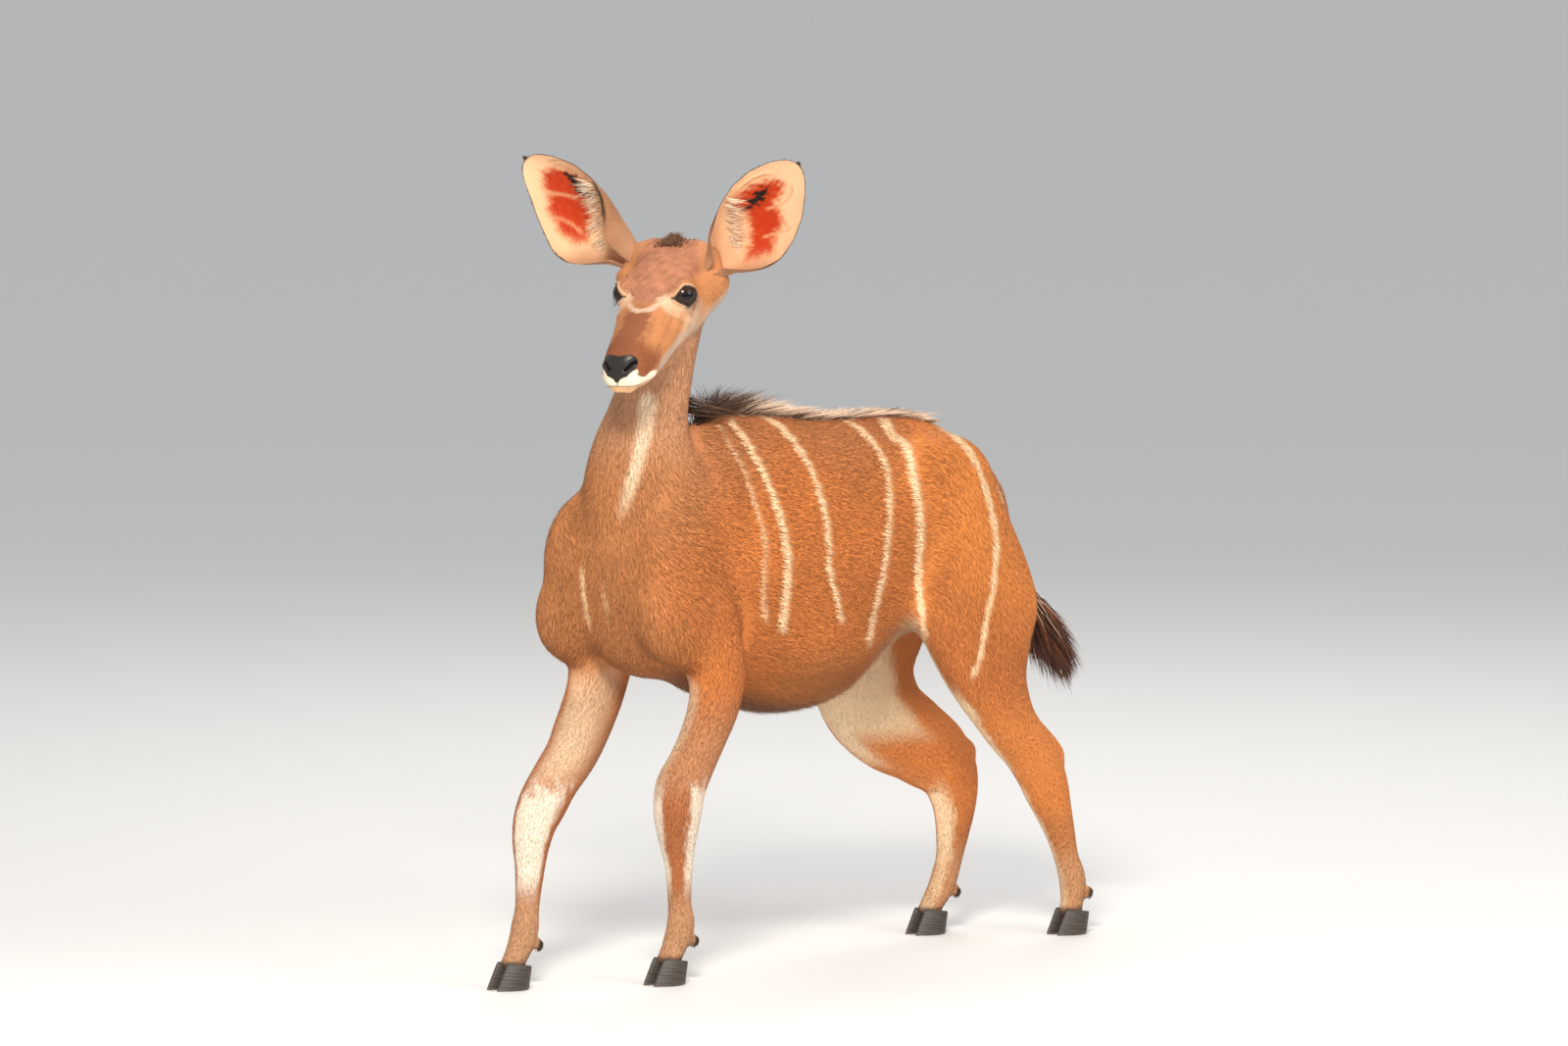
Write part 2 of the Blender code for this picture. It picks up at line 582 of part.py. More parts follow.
def sculpt(obj, strokes):
    """Presses or raises the surface round each stroke along its own normals."""
    mesh = obj.data
    co = np.array([v.co[:] for v in mesh.vertices])
    normal = np.array([v.normal[:] for v in mesh.vertices])
    for a, s, h, radius, out, both in strokes:
        for side in (1, -1)[:both + 1]:
            middle = place(on_head(a, side * s + (MUZZLE_SHIFT if a > 0.2 else 0.0), h))
            far = np.linalg.norm(co - middle, axis=1) / radius
            co += normal * (np.clip(1 - far * far, 0, 1) ** 2 * out)[:, None]
    mesh.vertices.foreach_set("co", co.ravel())
    mesh.update()


def flesh():
    obj = make("flesh", *gather(torso_pieces() + leg_pieces() + head_pieces()))
    mod = obj.modifiers.new("net", "REMESH")
    mod.mode = "VOXEL"
    mod.voxel_size = BODY_VOXEL
    bake(obj)
    relax(obj, 6, SOFT_SPOTS + EAR_SPOTS)
    sculpt(obj, STROKES)
    return largest(obj)


def thin_out(obj, keep_head, total):
    """Fewer triangles, with the head kept finer than the body."""
    group = obj.vertex_groups.new(name="body")
    co = np.array([v.co[:] for v in obj.data.vertices])
    middle = place(on_head(0.12, 0, 0))
    far = np.linalg.norm(co - middle, axis=1)
    body = [int(i) for i in np.nonzero(far > 0.20)[0]]
    group.add(body, 1.0, "REPLACE")
    triangles(obj)
    count = len(obj.data.polygons)
    body_set = set(body)
    head_faces = sum(1 for p in obj.data.polygons if p.vertices[0] not in body_set)
    mod = obj.modifiers.new("thin body", "DECIMATE")
    mod.ratio = (head_faces + total - keep_head) / count
    mod.vertex_group = "body"
    bake(obj)
    obj.vertex_groups.clear()
    mod = obj.modifiers.new("thin all", "DECIMATE")
    group = obj.vertex_groups.new(name="head")
    co = np.array([v.co[:] for v in obj.data.vertices])
    far = np.linalg.norm(co - middle, axis=1)
    group.add([int(i) for i in np.nonzero(far < 0.21)[0]], 1.0, "REPLACE")
    mod.ratio = total / len(obj.data.polygons)
    mod.vertex_group = "head"
    bake(obj)
    obj.vertex_groups.clear()
    return triangles(obj)


# Small shapes
def outward(obj):
    """Turns all faces of a closed mesh outward."""
    bm = bmesh.new()
    bm.from_mesh(obj.data)
    bmesh.ops.recalc_face_normals(bm, faces=bm.faces)
    bm.to_mesh(obj.data)
    bm.free()
    return obj


def mouth_line(t):
    """Along, side, height of the parting of the lips, from one corner at -1 to the other at 1."""
    u = abs(t)
    a = MOUTH_FRONT[0] + (MOUTH_CORNER[0] - MOUTH_FRONT[0]) * (0.35 * u ** 3 + 0.65 * u ** 1.9)
    h = MOUTH_FRONT[1] + (MOUTH_CORNER[1] - MOUTH_FRONT[1]) * u ** 1.35
    return a, 0.050 * sin(t * pi / 2), h


def blade(line, thick):
    """A thin closed blade between an outer and an inner curve on the head."""
    verts, faces = [], []
    for outer, inner in line:
        for p in (outer, inner):
            for k in (1, -1):
                verts.append(on_head(*p) + HEAD_RISE * thick / 2 * k)
    n = len(line)
    for i in range(n - 1):
        a, b = 4 * i, 4 * i + 4
        for q in ((0, 1), (1, 3), (3, 2), (2, 0)):
            faces.append((a + q[0], a + q[1], b + q[1], b + q[0]))
    faces += [(0, 2, 3, 1), (4 * n - 4, 4 * n - 3, 4 * n - 1, 4 * n - 2)]
    return outward(make("blade", np.array(verts), faces))


def hoof(name, foot, side):
    """One toe, pointed in front, flat below and cut level with the hair line."""
    f0, l0 = foot
    verts, faces, ring, levels = [], [], 16, 3
    half = HOOF_LENGTH / 2
    for i in range(levels):
        t = i / (levels - 1)
        reach = half * (1 - 0.28 * t)
        wide = 0.0160 * (1 - 0.10 * t)
        slide = 0.010 - 0.014 * t
        for k in range(ring):
            x, y = cos(tau * k / ring), sin(tau * k / ring)
            ahead = max(x, 0.0)
            f = f0 + slide + reach * (x if x > 0 else 0.86 * x)
            l = wide * y * (1 - 0.55 * ahead ** 2) + side * (0.0172 - 0.005 * ahead)
            if side * (l - side * 0.0014) < 0:
                l = side * 0.0014
            top = HOOF_HEIGHT + 0.16 * (f - f0)
            verts.append((f, l0 + l, top * t))
    for i in range(levels - 1):
        for k in range(ring):
            a, b = i * ring + k, i * ring + (k + 1) % ring
            faces.append((a, b, b + ring, a + ring))
    faces.append(tuple(range(ring))[::-1])
    faces.append(tuple((levels - 1) * ring + k for k in range(ring)))
    return triangles(make(name, np.array(verts), faces))


EAR_WAY = {1: (0.09, 0.673, 0.735), -1: (0.24, 0.760, 0.760)}
EAR_RAISE = {1: -0.027, -1: -0.016}
EAR_FULL = {1: 0.0, -1: 0.007}


def ear(name, side):
    """A deep cup with a low outer bulge, rolled into a tube at its root."""
    ahead, out, rise = EAR_WAY[side]
    along = unit(ahead * FACING + side * out * HEAD_SIDE + rise * UP)
    facing = unit(0.98 * FACING + side * 0.20 * HEAD_SIDE)
    facing = unit(facing - facing.dot(along) * along)
    across = np.cross(along, facing) * side
    mouth = np.array(POLL) - 0.010 * FACING + side * EAR_OUT[side] * HEAD_SIDE + EAR_RAISE[side] * UP
    height = [-0.036, -0.005, 0.013, 0.042, 0.067, 0.099, 0.1325, 0.1615, 0.177, 0.187, 0.1918, 0.1935]
    inner = [-0.016, -0.024, -0.034, -0.045, -0.0525, -0.057, -0.051, -0.037, -0.026, -0.016, -0.008, -0.001]
    outer = [0.014, 0.028, 0.045, 0.068, 0.0755, 0.0725, 0.061, 0.043, 0.0315, 0.0210, 0.0120, 0.0040]
    deep = [0.020, 0.030, 0.036, 0.041, 0.040, 0.034, 0.025, 0.014, 0.008, 0.004, 0.002, 0.001]
    roll = [165, 160, 145, 118, 97, 74, 58, 42, 32, 24, 20, 20]
    rows, columns = 12, 9
    verts, faces = [], []
    for i in range(rows + 1):
        y = height[0] + (height[-1] - height[0]) * (i / rows) ** 0.85
        a, b, d, turn = (np.interp(y, height, t) for t in (inner, outer, deep, roll))
        b += EAR_FULL[side] * sin(pi * np.clip(y / 0.14, 0, 1))
        turn = radians(turn)
        radius = (b - a) / 2 / (sin(turn) if turn < pi / 2 else 1.0)
        for k in range(columns + 1):
            t = turn * (-1.05 + 2 * k / columns)
            x = (a + b) / 2 + radius * sin(t)
            z = -d + min(radius, 0.05) * (1 - cos(t))
            verts.append(mouth + along * y * EAR_LENGTH / height[-1] + across * x + facing * (z + 0.008))
    for i in range(rows):
        for k in range(columns):
            a = i * (columns + 1) + k
            quad = (a, a + 1, a + columns + 2, a + columns + 1)
            faces.append(quad if side > 0 else quad[::-1])
    obj = make(name, np.array(verts), faces)
    mod = obj.modifiers.new("shell", "SOLIDIFY")
    mod.thickness = EAR_THICK
    mod.offset = -1.0
    mod.use_even_offset = True
    bake(obj)
    return triangles(obj)


TAIL = [
    (-0.395, 0.000, 0.790, 0.018, 0.018, 0.018),
    (-0.436, 0.000, 0.782, 0.022, 0.020, 0.020),
    (-0.474, 0.000, 0.745, 0.021, 0.018, 0.018),
    (-0.496, 0.000, 0.690, 0.019, 0.016, 0.017),
    (-0.510, 0.000, 0.635, 0.019, 0.016, 0.017),
    (-0.531, 0.000, 0.585, 0.019, 0.016, 0.017),
    (-0.562, 0.000, 0.545, 0.018, 0.015, 0.016),
    (-0.591, 0.000, 0.515, 0.014, 0.012, 0.013),
    (-0.612, 0.000, 0.490, 0.007, 0.006, 0.006),
]


# Hair in locks. A row is forward, left, up of the root line, length, backward lean and width.
CREST = [
    (0.234, 0.010, 0.945, 0.046, 0.70, 0.030),
    (0.216, 0.004, 0.916, 0.066, 0.50, 0.034),
    (0.190, 0.001, 0.907, 0.062, 0.55, 0.034),
    (0.156, 0.000, 0.903, 0.046, 0.85, 0.032),
    (0.100, 0.000, 0.901, 0.034, 1.2, 0.028),
    (0.030, 0.000, 0.896, 0.026, 1.5, 0.025),
    (-0.050, 0.000, 0.892, 0.025, 1.7, 0.024),
    (-0.180, 0.000, 0.886, 0.024, 1.7, 0.024),
    (-0.260, 0.000, 0.878, 0.018, 1.9, 0.022),
    (-0.310, 0.000, 0.866, 0.010, 2.2, 0.020),
]
CREST_STEP = 0.0125
# Down the tail: forward, left, up of the core's middle, its half width, lock length and flare.
BRUSH = [
    (-0.519, 0.000, 0.610, 0.016, 0.060, 0.20),
    (-0.540, 0.000, 0.570, 0.016, 0.078, 0.45),
    (-0.565, 0.000, 0.541, 0.015, 0.092, 0.60),
    (-0.590, 0.000, 0.515, 0.012, 0.094, 0.52),
    (-0.608, 0.000, 0.494, 0.006, 0.088, 0.26),
]
BRUSH_STEP = 0.044
BRUSH_RING = 4
BRUSH_WIDE = 0.030
LOCK_THICK = 0.0050


def lock(root, way, flat, length, wide, thick, bend):
    """A flat tapered lock: where it roots, which way it leaves, which way it faces, and how its tip bends."""
    way = unit(way)
    across = unit(np.cross(way, flat))
    verts, faces = [], []
    for t, w in ((-0.15, 0.80), (0.15, 1.0), (0.50, 0.82), (0.80, 0.45)):
        centre = root + way * length * t + bend * max(t, 0.0) ** 2
        slant = unit(way * length + bend * 2 * max(t, 0.0))
        face = unit(np.cross(across, slant))
        for x, y in ((1, 0), (0, 1), (-1, 0), (0, -1)):
            verts.append(centre + across * wide / 2 * w * x + face * thick / 2 * w * y)
    verts.append(root + way * length + bend)
    for i in range(3):
        for k in range(4):
            a, b = 4 * i + k, 4 * i + (k + 1) % 4
            faces.append((a, b, b + 4, a + 4))
    for k in range(4):
        faces.append((12 + k, 12 + (k + 1) % 4, 16))
    faces.append((3, 2, 1, 0))
    return outward(triangles(make("lock", np.array(verts), faces)))


def crest_locks(rng):
    """Upright mane on the nape and withers, then the low crest of the back, in two staggered ranks."""
    rows = fill(CREST, CREST_STEP)
    slope = np.gradient(rows[:, :3], axis=0)
    locks = []
    for i, row in enumerate(rows):
        along = unit(slope[i])
        rise = unit(UP - along * along[2]) if abs(along[2]) < 0.7 else unit(along * along[0] - (1, 0, 0))
        side = (1 if i % 2 else -1) * (0.8 + 0.4 * rng.random())
        lean = row[4] * (0.85 + 0.3 * rng.random())
        way = unit(rise + along * lean + np.array([0, 0.14 * side, 0]))
        length = row[3] * (0.85 + 0.3 * rng.random()) * np.hypot(1.0, 0.55 * lean)
        root = row[:3] - rise * 0.004 + np.array([0, side * 0.003, 0])
        bend = (along * 0.30 + np.array([0, 0.06 * side, 0])) * length
        locks.append(lock(root, way, np.array([0.25 * (rng.random() - 0.5), 1.0, 0]), length,
                          row[5], LOCK_THICK, bend))
    return locks


def brush_locks(rng):
    """The brush of the tail in rings that overlap, each lower ring longer past the core."""
    rows = fill(BRUSH, BRUSH_STEP)
    slope = np.gradient(rows[:, :3], axis=0)
    locks = []
    for i, row in enumerate(rows):
        along = unit(slope[i])
        behind = unit(np.cross(along, (0, 1, 0)))
        for k in range(BRUSH_RING):
            turn = tau * (k + 0.5 * (i % 2)) / BRUSH_RING + 0.3 * (rng.random() - 0.5)
            out = behind * cos(turn) + np.array([0, 1, 0]) * sin(turn)
            length = row[4] * (0.85 + 0.3 * rng.random())
            locks.append(lock(row[:3] + out * (row[3] - 0.003), unit(along + out * row[5]), out, length,
                              BRUSH_WIDE, LOCK_THICK, -out * length * (row[5] + 0.02)))
    return locks


def topknot_locks(rng):
    """The small dark tuft between the ears."""
    locks = []
    for i in range(8):
        a, s = 0.000 + 0.007 * (i // 2), (0.004 if i % 2 else -0.004) * (0.8 + 0.5 * rng.random())
        root = on_head(a, s, 0.027 + 0.004 * (i // 2 > 0))
        way = unit(HEAD_RISE * 0.6 - HEAD_ALONG * 0.85 + HEAD_SIDE * s * 25)
        length = 0.013 * (0.85 + 0.3 * rng.random())
        locks.append(lock(root, way, HEAD_SIDE + HEAD_ALONG * 0.2, length, 0.017, LOCK_THICK,
                          HEAD_ALONG * 0.004 * (rng.random() - 0.2)))
    return locks


# Building
whole = flesh()
thin_out(whole, HEAD_TRIANGLES, FLESH_TRIANGLES)
rng = np.random.default_rng(LOCK_SEED)
union(whole, crest_locks(rng) + topknot_locks(rng), "MANIFOLD")
nodes = {}

# eyes in their sockets, nostrils and the line of the mouth
for side, word in ((1, "left"), (-1, "right")):
    a, s, h = EYE_PLACE
    centre = on_head(a, side * s, h)
    aim = unit(EYE_AIM[0] * HEAD_ALONG + side * EYE_AIM[1] * HEAD_SIDE + EYE_AIM[2] * HEAD_RISE)
    level = EYE_LEVEL[0] * HEAD_ALONG + side * EYE_LEVEL[1] * HEAD_SIDE + EYE_LEVEL[2] * HEAD_RISE
    level = unit(level - level.dot(aim) * aim)
    over = np.cross(aim, level) * side
    socket = make("socket", *ball(centre, [EYE_RADIUS + 1.3 * GAP] * 3, (level, over, aim), *EYE_NET))
    boolean(whole, socket, "DIFFERENCE")
    almond = []
    for deep in (0.004, 0.045):
        almond.append([centre + aim * deep + level * EYE_WIDE * cos(tau * k / 20) * (0.9 + 5 * deep)
                       + over * EYE_TALL * (0.9 + 5 * deep) * sin(tau * k / 20)
                       * (1 - 0.25 * abs(cos(tau * k / 20))) for k in range(20)])
    verts = np.array(almond[0] + almond[1])
    rim = [(k, (k + 1) % 20, 20 + (k + 1) % 20, 20 + k) for k in range(20)]
    rim = rim + [tuple(range(20))[::-1], tuple(range(20, 40))]
    opening = outward(make("opening", verts, rim))
    boolean(whole, opening, "DIFFERENCE")
    nodes["eye_" + word] = make("eye_" + word, *ball(centre, [EYE_RADIUS] * 3, (level, over, aim), *EYE_NET))
    opens = unit(HEAD_ALONG * 0.75 + HEAD_RISE * 0.66)
    long = unit(HEAD_SIDE * side * 0.80 - HEAD_ALONG * 0.45 + HEAD_RISE * 0.35)
    lie = (long, unit(np.cross(long, opens)), opens)
    nostril = make("nostril", *ball(on_head(0.2680, side * 0.0200 + MUZZLE_SHIFT, 0.0200),
                                    (0.0085, 0.0040, 0.0100), lie, 8, 12))
    boolean(whole, nostril, "DIFFERENCE")
    drop(socket, opening, nostril)

lips = []
for t in np.linspace(-1, 1, 17):
    a, s, h = mouth_line(t)
    deep = 0.016 * (1 - 0.6 * abs(t) ** 3)
    lips.append(((a + 0.004 * (1 - abs(t)), s + MUZZLE_SHIFT, h),
                 (a - deep * (1 - abs(t)) - 0.002, s * (0.62 + 0.19 * abs(t)) + MUZZLE_SHIFT, h)))
mouth = blade(lips, 0.0018)
boolean(whole, mouth, "DIFFERENCE")
drop(mouth)
largest(triangles(whole))

# ears and tail stand a thin cut away from the flesh they grow from
outside = swollen(whole, GAP)
for side, word in ((1, "left"), (-1, "right")):
    shell = ear("ear_" + word, side)
    boolean(shell, outside, "DIFFERENCE")
    nodes["ear_" + word] = largest(triangles(shell))
tail = triangles(make("tail", *tube(TAIL, step=0.04, ring=12)))
union(tail, brush_locks(rng), "MANIFOLD")
boolean(tail, outside, "DIFFERENCE")
nodes["tail"] = largest(triangles(tail))
drop(outside)

# the flesh is parted into head, neck, legs and torso
slope = ((0.768, 0, -0.640), (0, 1, 0), (0.640, 0, 0.768))
nodes["head"] = part_off(whole, "head", (-0.30, -0.25, 0.0), (0.40, 0.25, 0.40), axes=slope,
                         origin=(0.290, 0.045, 1.045))
slope = ((0.723, 0, -0.690), (0, 1, 0), (0.690, 0, 0.723))
nodes["neck"] = part_off(whole, "neck", (-0.40, -0.16, 0.0), (0.30, 0.20, 0.40), axes=slope,
                         origin=(0.285, 0.0, 0.815))
reach = {
    "foreleg_left": (0.15, 0.40, 0.045, 0.18, 0.470),
    "foreleg_right": (0.16, 0.62, -0.18, -0.045, 0.470),
    "hindleg_left": (-0.72, -0.14, 0.030, 0.20, 0.470),
    "hindleg_right": (-0.62, -0.08, -0.20, -0.030, 0.470),
}
for name, (f0, f1, l0, l1, top) in reach.items():
    nodes[name] = part_off(whole, name, (f0, l0, -0.1), (f1, l1, top))
    f, l = LEGS[name][-1][:2]
    cut = block((-0.10, -0.10, -0.10), (0.10, 0.10, HOOF_HEIGHT + GAP), origin=(f, l, 0),
                axes=((1, 0, 0), (0, 1, 0), (0, 0, 1)))
    for v in cut.data.vertices:
        if v.co.z > 0:
            v.co.z += 0.16 * (-(v.co.y) - (f + SHIFT_FORWARD))
    boolean(nodes[name], cut, "DIFFERENCE")
    drop(cut)
    largest(triangles(nodes[name]))
    for side, word in ((1, "outer" if l > 0 else "inner"), (-1, "inner" if l > 0 else "outer")):
        toe = name.replace("leg", "hoof") + "_" + word
        nodes[toe] = hoof(toe, (f, l), side)
nodes["torso"] = whole
whole.name = "torso"

# Colours
PAINT = {
    "coat": ((0.42, 0.17, 0.06), 0.85), "eye": ((0.01, 0.008, 0.007), 0.08),
    "hoof": ((0.03, 0.025, 0.02), 0.45), "ear": ((0.50, 0.26, 0.13), 0.8),
}
for name, obj in nodes.items():
    kind = "eye" if "eye" in name else "hoof" if "hoof" in name else "ear" if "ear_" in name else "coat"
    colour, rough = PAINT[kind]
    material = bpy.data.materials.new(name + "_" + kind)
    material.use_nodes = True
    shader = material.node_tree.nodes["Principled BSDF"]
    shader.inputs["Base Color"].default_value = (*colour, 1)
    shader.inputs["Roughness"].default_value = rough
    obj.data.materials.clear()
    obj.data.materials.append(material)
    obj.data.polygons.foreach_set("use_smooth", [kind != "hoof"] * len(obj.data.polygons))
    obj.data.name = name
    obj.name = name
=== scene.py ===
# Young greater kudu, dressed: one skin, a coat of tufts and locks, ears, eyes and hooves.
# Points are given as forward, left and up of the animal, and placed by one function.
import bpy
import bmesh
import numpy as np
from math import radians, sin, cos, tau, pi
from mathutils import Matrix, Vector
from mathutils.bvhtree import BVHTree


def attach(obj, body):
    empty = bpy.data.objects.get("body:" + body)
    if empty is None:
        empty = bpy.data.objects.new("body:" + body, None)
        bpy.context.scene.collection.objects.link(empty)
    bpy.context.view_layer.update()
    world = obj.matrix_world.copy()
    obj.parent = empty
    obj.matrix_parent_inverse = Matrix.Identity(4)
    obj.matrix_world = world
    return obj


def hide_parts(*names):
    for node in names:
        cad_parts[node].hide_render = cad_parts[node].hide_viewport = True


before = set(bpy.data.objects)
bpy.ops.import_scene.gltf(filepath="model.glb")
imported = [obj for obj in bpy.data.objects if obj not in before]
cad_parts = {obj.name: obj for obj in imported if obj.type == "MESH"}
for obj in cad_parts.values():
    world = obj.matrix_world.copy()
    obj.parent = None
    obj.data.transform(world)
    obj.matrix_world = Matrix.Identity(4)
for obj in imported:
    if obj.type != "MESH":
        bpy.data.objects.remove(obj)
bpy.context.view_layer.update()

# Sizes in metres, the first ones the same as in the solids
BODY_VOXEL = 0.0045     # the net the skin is gathered on
SHIFT_FORWARD = 0.0415  # moves the model so the middle of its bounding box is over the origin
SHIFT_LEFT = -0.0513
HEAD_YAW = 22.0         # degrees the head is turned to the animal's left
HEAD_PITCH = 44.0       # degrees the face line points below level
POLL = (0.291, 0.050, 1.198)
POLL_RISE = 0.030
EYE_RADIUS = 0.0225
EYE_NET = (10, 16)      # rings and sides, the same for the eye and its socket
EYE_PLACE = (0.1066, 0.0487, 0.0139)
EYE_AIM = (0.46, 0.77, 0.45)
EYE_LEVEL = (0.71, -0.62, 0.33)
EYE_WIDE = 0.0200       # half the opening of the lids, along and across
EYE_TALL = 0.0152
MUZZLE_SHIFT = -0.006   # the muzzle lies a little to the animal's right of the brow's middle
MOUTH_FRONT = (0.2945, 0.0015)    # along and height of the parting of the lips
MOUTH_CORNER = (0.216, -0.0385)
EAR_LENGTH = 0.207
EAR_THICK = 0.0045
EAR_OUT = {1: 0.088, -1: 0.097}   # from the middle of the head to the mouth of each ear
HOOF_LENGTH = 0.066
HOOF_HEIGHT = 0.040


# Placing
def place(points):
    """Forward, left and up into the shared frame, which looks along minus Y."""
    p = np.asarray(points, float)
    return np.stack([p[..., 1] + SHIFT_LEFT, -(p[..., 0] + SHIFT_FORWARD), p[..., 2]], axis=-1)


yaw, pitch = radians(HEAD_YAW), radians(HEAD_PITCH)
FACING = np.array([cos(yaw), sin(yaw), 0.0])
HEAD_SIDE = np.array([-sin(yaw), cos(yaw), 0.0])
UP = np.array([0.0, 0.0, 1.0])
HEAD_ALONG = FACING * cos(pitch) - UP * sin(pitch)
HEAD_RISE = FACING * sin(pitch) + UP * cos(pitch)
HEAD_ROOT = np.array(POLL) - POLL_RISE * HEAD_RISE


def on_head(a, s, h):
    """Along the face from the poll, to the animal's left and out of the brow."""
    return HEAD_ROOT + a * HEAD_ALONG + s * HEAD_SIDE + h * HEAD_RISE


def unit(v):
    v = np.asarray(v, float)
    return v / np.linalg.norm(v)


# The photograph's view. Marks are given in its pixels, 1600 by 1067, and laid on the animal's shape.
VIEW_AZIMUTH = 47.0
VIEW_ELEVATION = 5.0
VIEW_DISTANCE = 14.0
VIEW_HEIGHT = 0.72      # height of the point the camera looks at
VIEW_WIDTH = 2.56       # metres across the picture at that point
PHOTO_WIDE, PHOTO_TALL = 1600, 1067
az, el = radians(VIEW_AZIMUTH), radians(VIEW_ELEVATION)
TO_CAMERA = np.array([cos(az) * cos(el), sin(az) * cos(el), sin(el)])
RIGHT = np.array([-sin(az), cos(az), 0.0])
ABOVE = np.cross(TO_CAMERA, RIGHT)
AIM_POINT = np.array([0.0, 0.0, VIEW_HEIGHT])


def flu(points):
    """The shared frame's points as forward, left and up of the animal."""
    p = np.asarray(points, float)
    return np.stack([-p[..., 1] - SHIFT_FORWARD, p[..., 0] - SHIFT_LEFT, p[..., 2]], axis=-1)


def turned(vectors):
    """Directions in the shared frame as forward, left and up."""
    v = np.asarray(vectors, float)
    return np.stack([-v[..., 1], v[..., 0], v[..., 2]], axis=-1)


def photo_xy(p):
    """Where points of the animal lie in the photograph, in its pixels."""
    d = np.asarray(p, float) - AIM_POINT
    depth = VIEW_DISTANCE - d @ TO_CAMERA
    scale = PHOTO_WIDE / VIEW_WIDTH * VIEW_DISTANCE / depth
    return np.stack([PHOTO_WIDE / 2 + d @ RIGHT * scale, PHOTO_TALL / 2 - d @ ABOVE * scale], axis=-1)


def head_local(p):
    d = np.asarray(p, float) - HEAD_ROOT
    return np.stack([d @ HEAD_ALONG, d @ HEAD_SIDE, d @ HEAD_RISE], axis=-1)


def body_fold(p, n=None):
    """The right half of the body laid on the left half."""
    q = np.array(p, float)
    q[..., 1] = abs(q[..., 1])
    if n is None:
        return q
    m = np.array(n, float)
    m[..., 1] *= np.where(np.asarray(p)[..., 1] < 0, -1, 1)
    return q, m


def head_shift(a):
    """How far the middle of the face lies to the side at a place along it."""
    return MUZZLE_SHIFT * smooth(a, 0.15, 0.25)


def head_fold(p, n):
    """The right half of the head laid on the left half, which the photograph shows."""
    loc = head_local(p)
    mid = head_shift(loc[:, 0])
    flip = loc[:, 1] < mid
    side = np.where(flip, 2 * mid - loc[:, 1], loc[:, 1])
    q = on_head_many(loc[:, 0], side, loc[:, 2])
    across = n @ HEAD_SIDE
    m = n - np.where(flip, 2 * across, 0.0)[:, None] * HEAD_SIDE
    return q, m


def on_head_many(a, s, h):
    return HEAD_ROOT + np.outer(a, HEAD_ALONG) + np.outer(s, HEAD_SIDE) + np.outer(h, HEAD_RISE)


def smooth(x, low, high):
    t = np.clip((np.asarray(x, float) - low) / (high - low), 0, 1)
    return t * t * (3 - 2 * t)


def near_line(xy, line):
    """Distance of each point to a line of points, and how far along the line it is from 0 to 1."""
    line = np.array(line, float)
    step = np.linalg.norm(np.diff(line, axis=0), axis=1)
    total = np.concatenate([[0], np.cumsum(step)])
    best = np.full(len(xy), 1e9)
    where = np.zeros(len(xy))
    for i in range(len(line) - 1):
        a, d = line[i], line[i + 1] - line[i]
        t = np.clip((xy - a) @ d / (d @ d), 0, 1)
        far = np.linalg.norm(xy - a - t[:, None] * d, axis=1)
        closer = far < best
        best = np.where(closer, far, best)
        where = np.where(closer, (total[i] + t * step[i]) / total[-1], where)
    return best, where


def curve(points, step=2.0):
    """A smooth line through a few points of the photograph."""
    pts = [tuple(p) + (0.0,) * (3 - len(p)) for p in points]
    return fill(pts, step)[:, :len(points[0])]


def inside(xy, ring):
    """How far inside a closed outline each point lies, negative outside."""
    ring = np.array(ring, float)
    far = near_line(xy, np.vstack([ring, ring[:1]]))[0]
    hit = np.zeros(len(xy), bool)
    for i in range(len(ring)):
        (x1, y1), (x2, y2) = ring[i], ring[(i + 1) % len(ring)]
        if y1 == y2:
            continue
        cross = (xy[:, 1] > y1) != (xy[:, 1] > y2)
        hit ^= cross & (xy[:, 0] < (x2 - x1) * (xy[:, 1] - y1) / (y2 - y1) + x1)
    return np.where(hit, far, -far)


# Shapes as vertices and faces
def fill(rows, step):
    """Rows of numbers filled in along a smooth curve."""
    rows = np.array(rows, float)
    out = []
    for i in range(len(rows) - 1):
        a, b = rows[max(i - 1, 0)], rows[i]
        c, d = rows[i + 1], rows[min(i + 2, len(rows) - 1)]
        n = max(1, int(round(np.linalg.norm(c[:3] - b[:3]) / step)))
        for k in range(n):
            t = k / n
            out.append(0.5 * (2 * b + (c - a) * t + (2 * a - 5 * b + 4 * c - d) * t * t
                              + (3 * b - a - 3 * c + d) * t ** 3))
    out.append(rows[-1])
    return np.array(out)


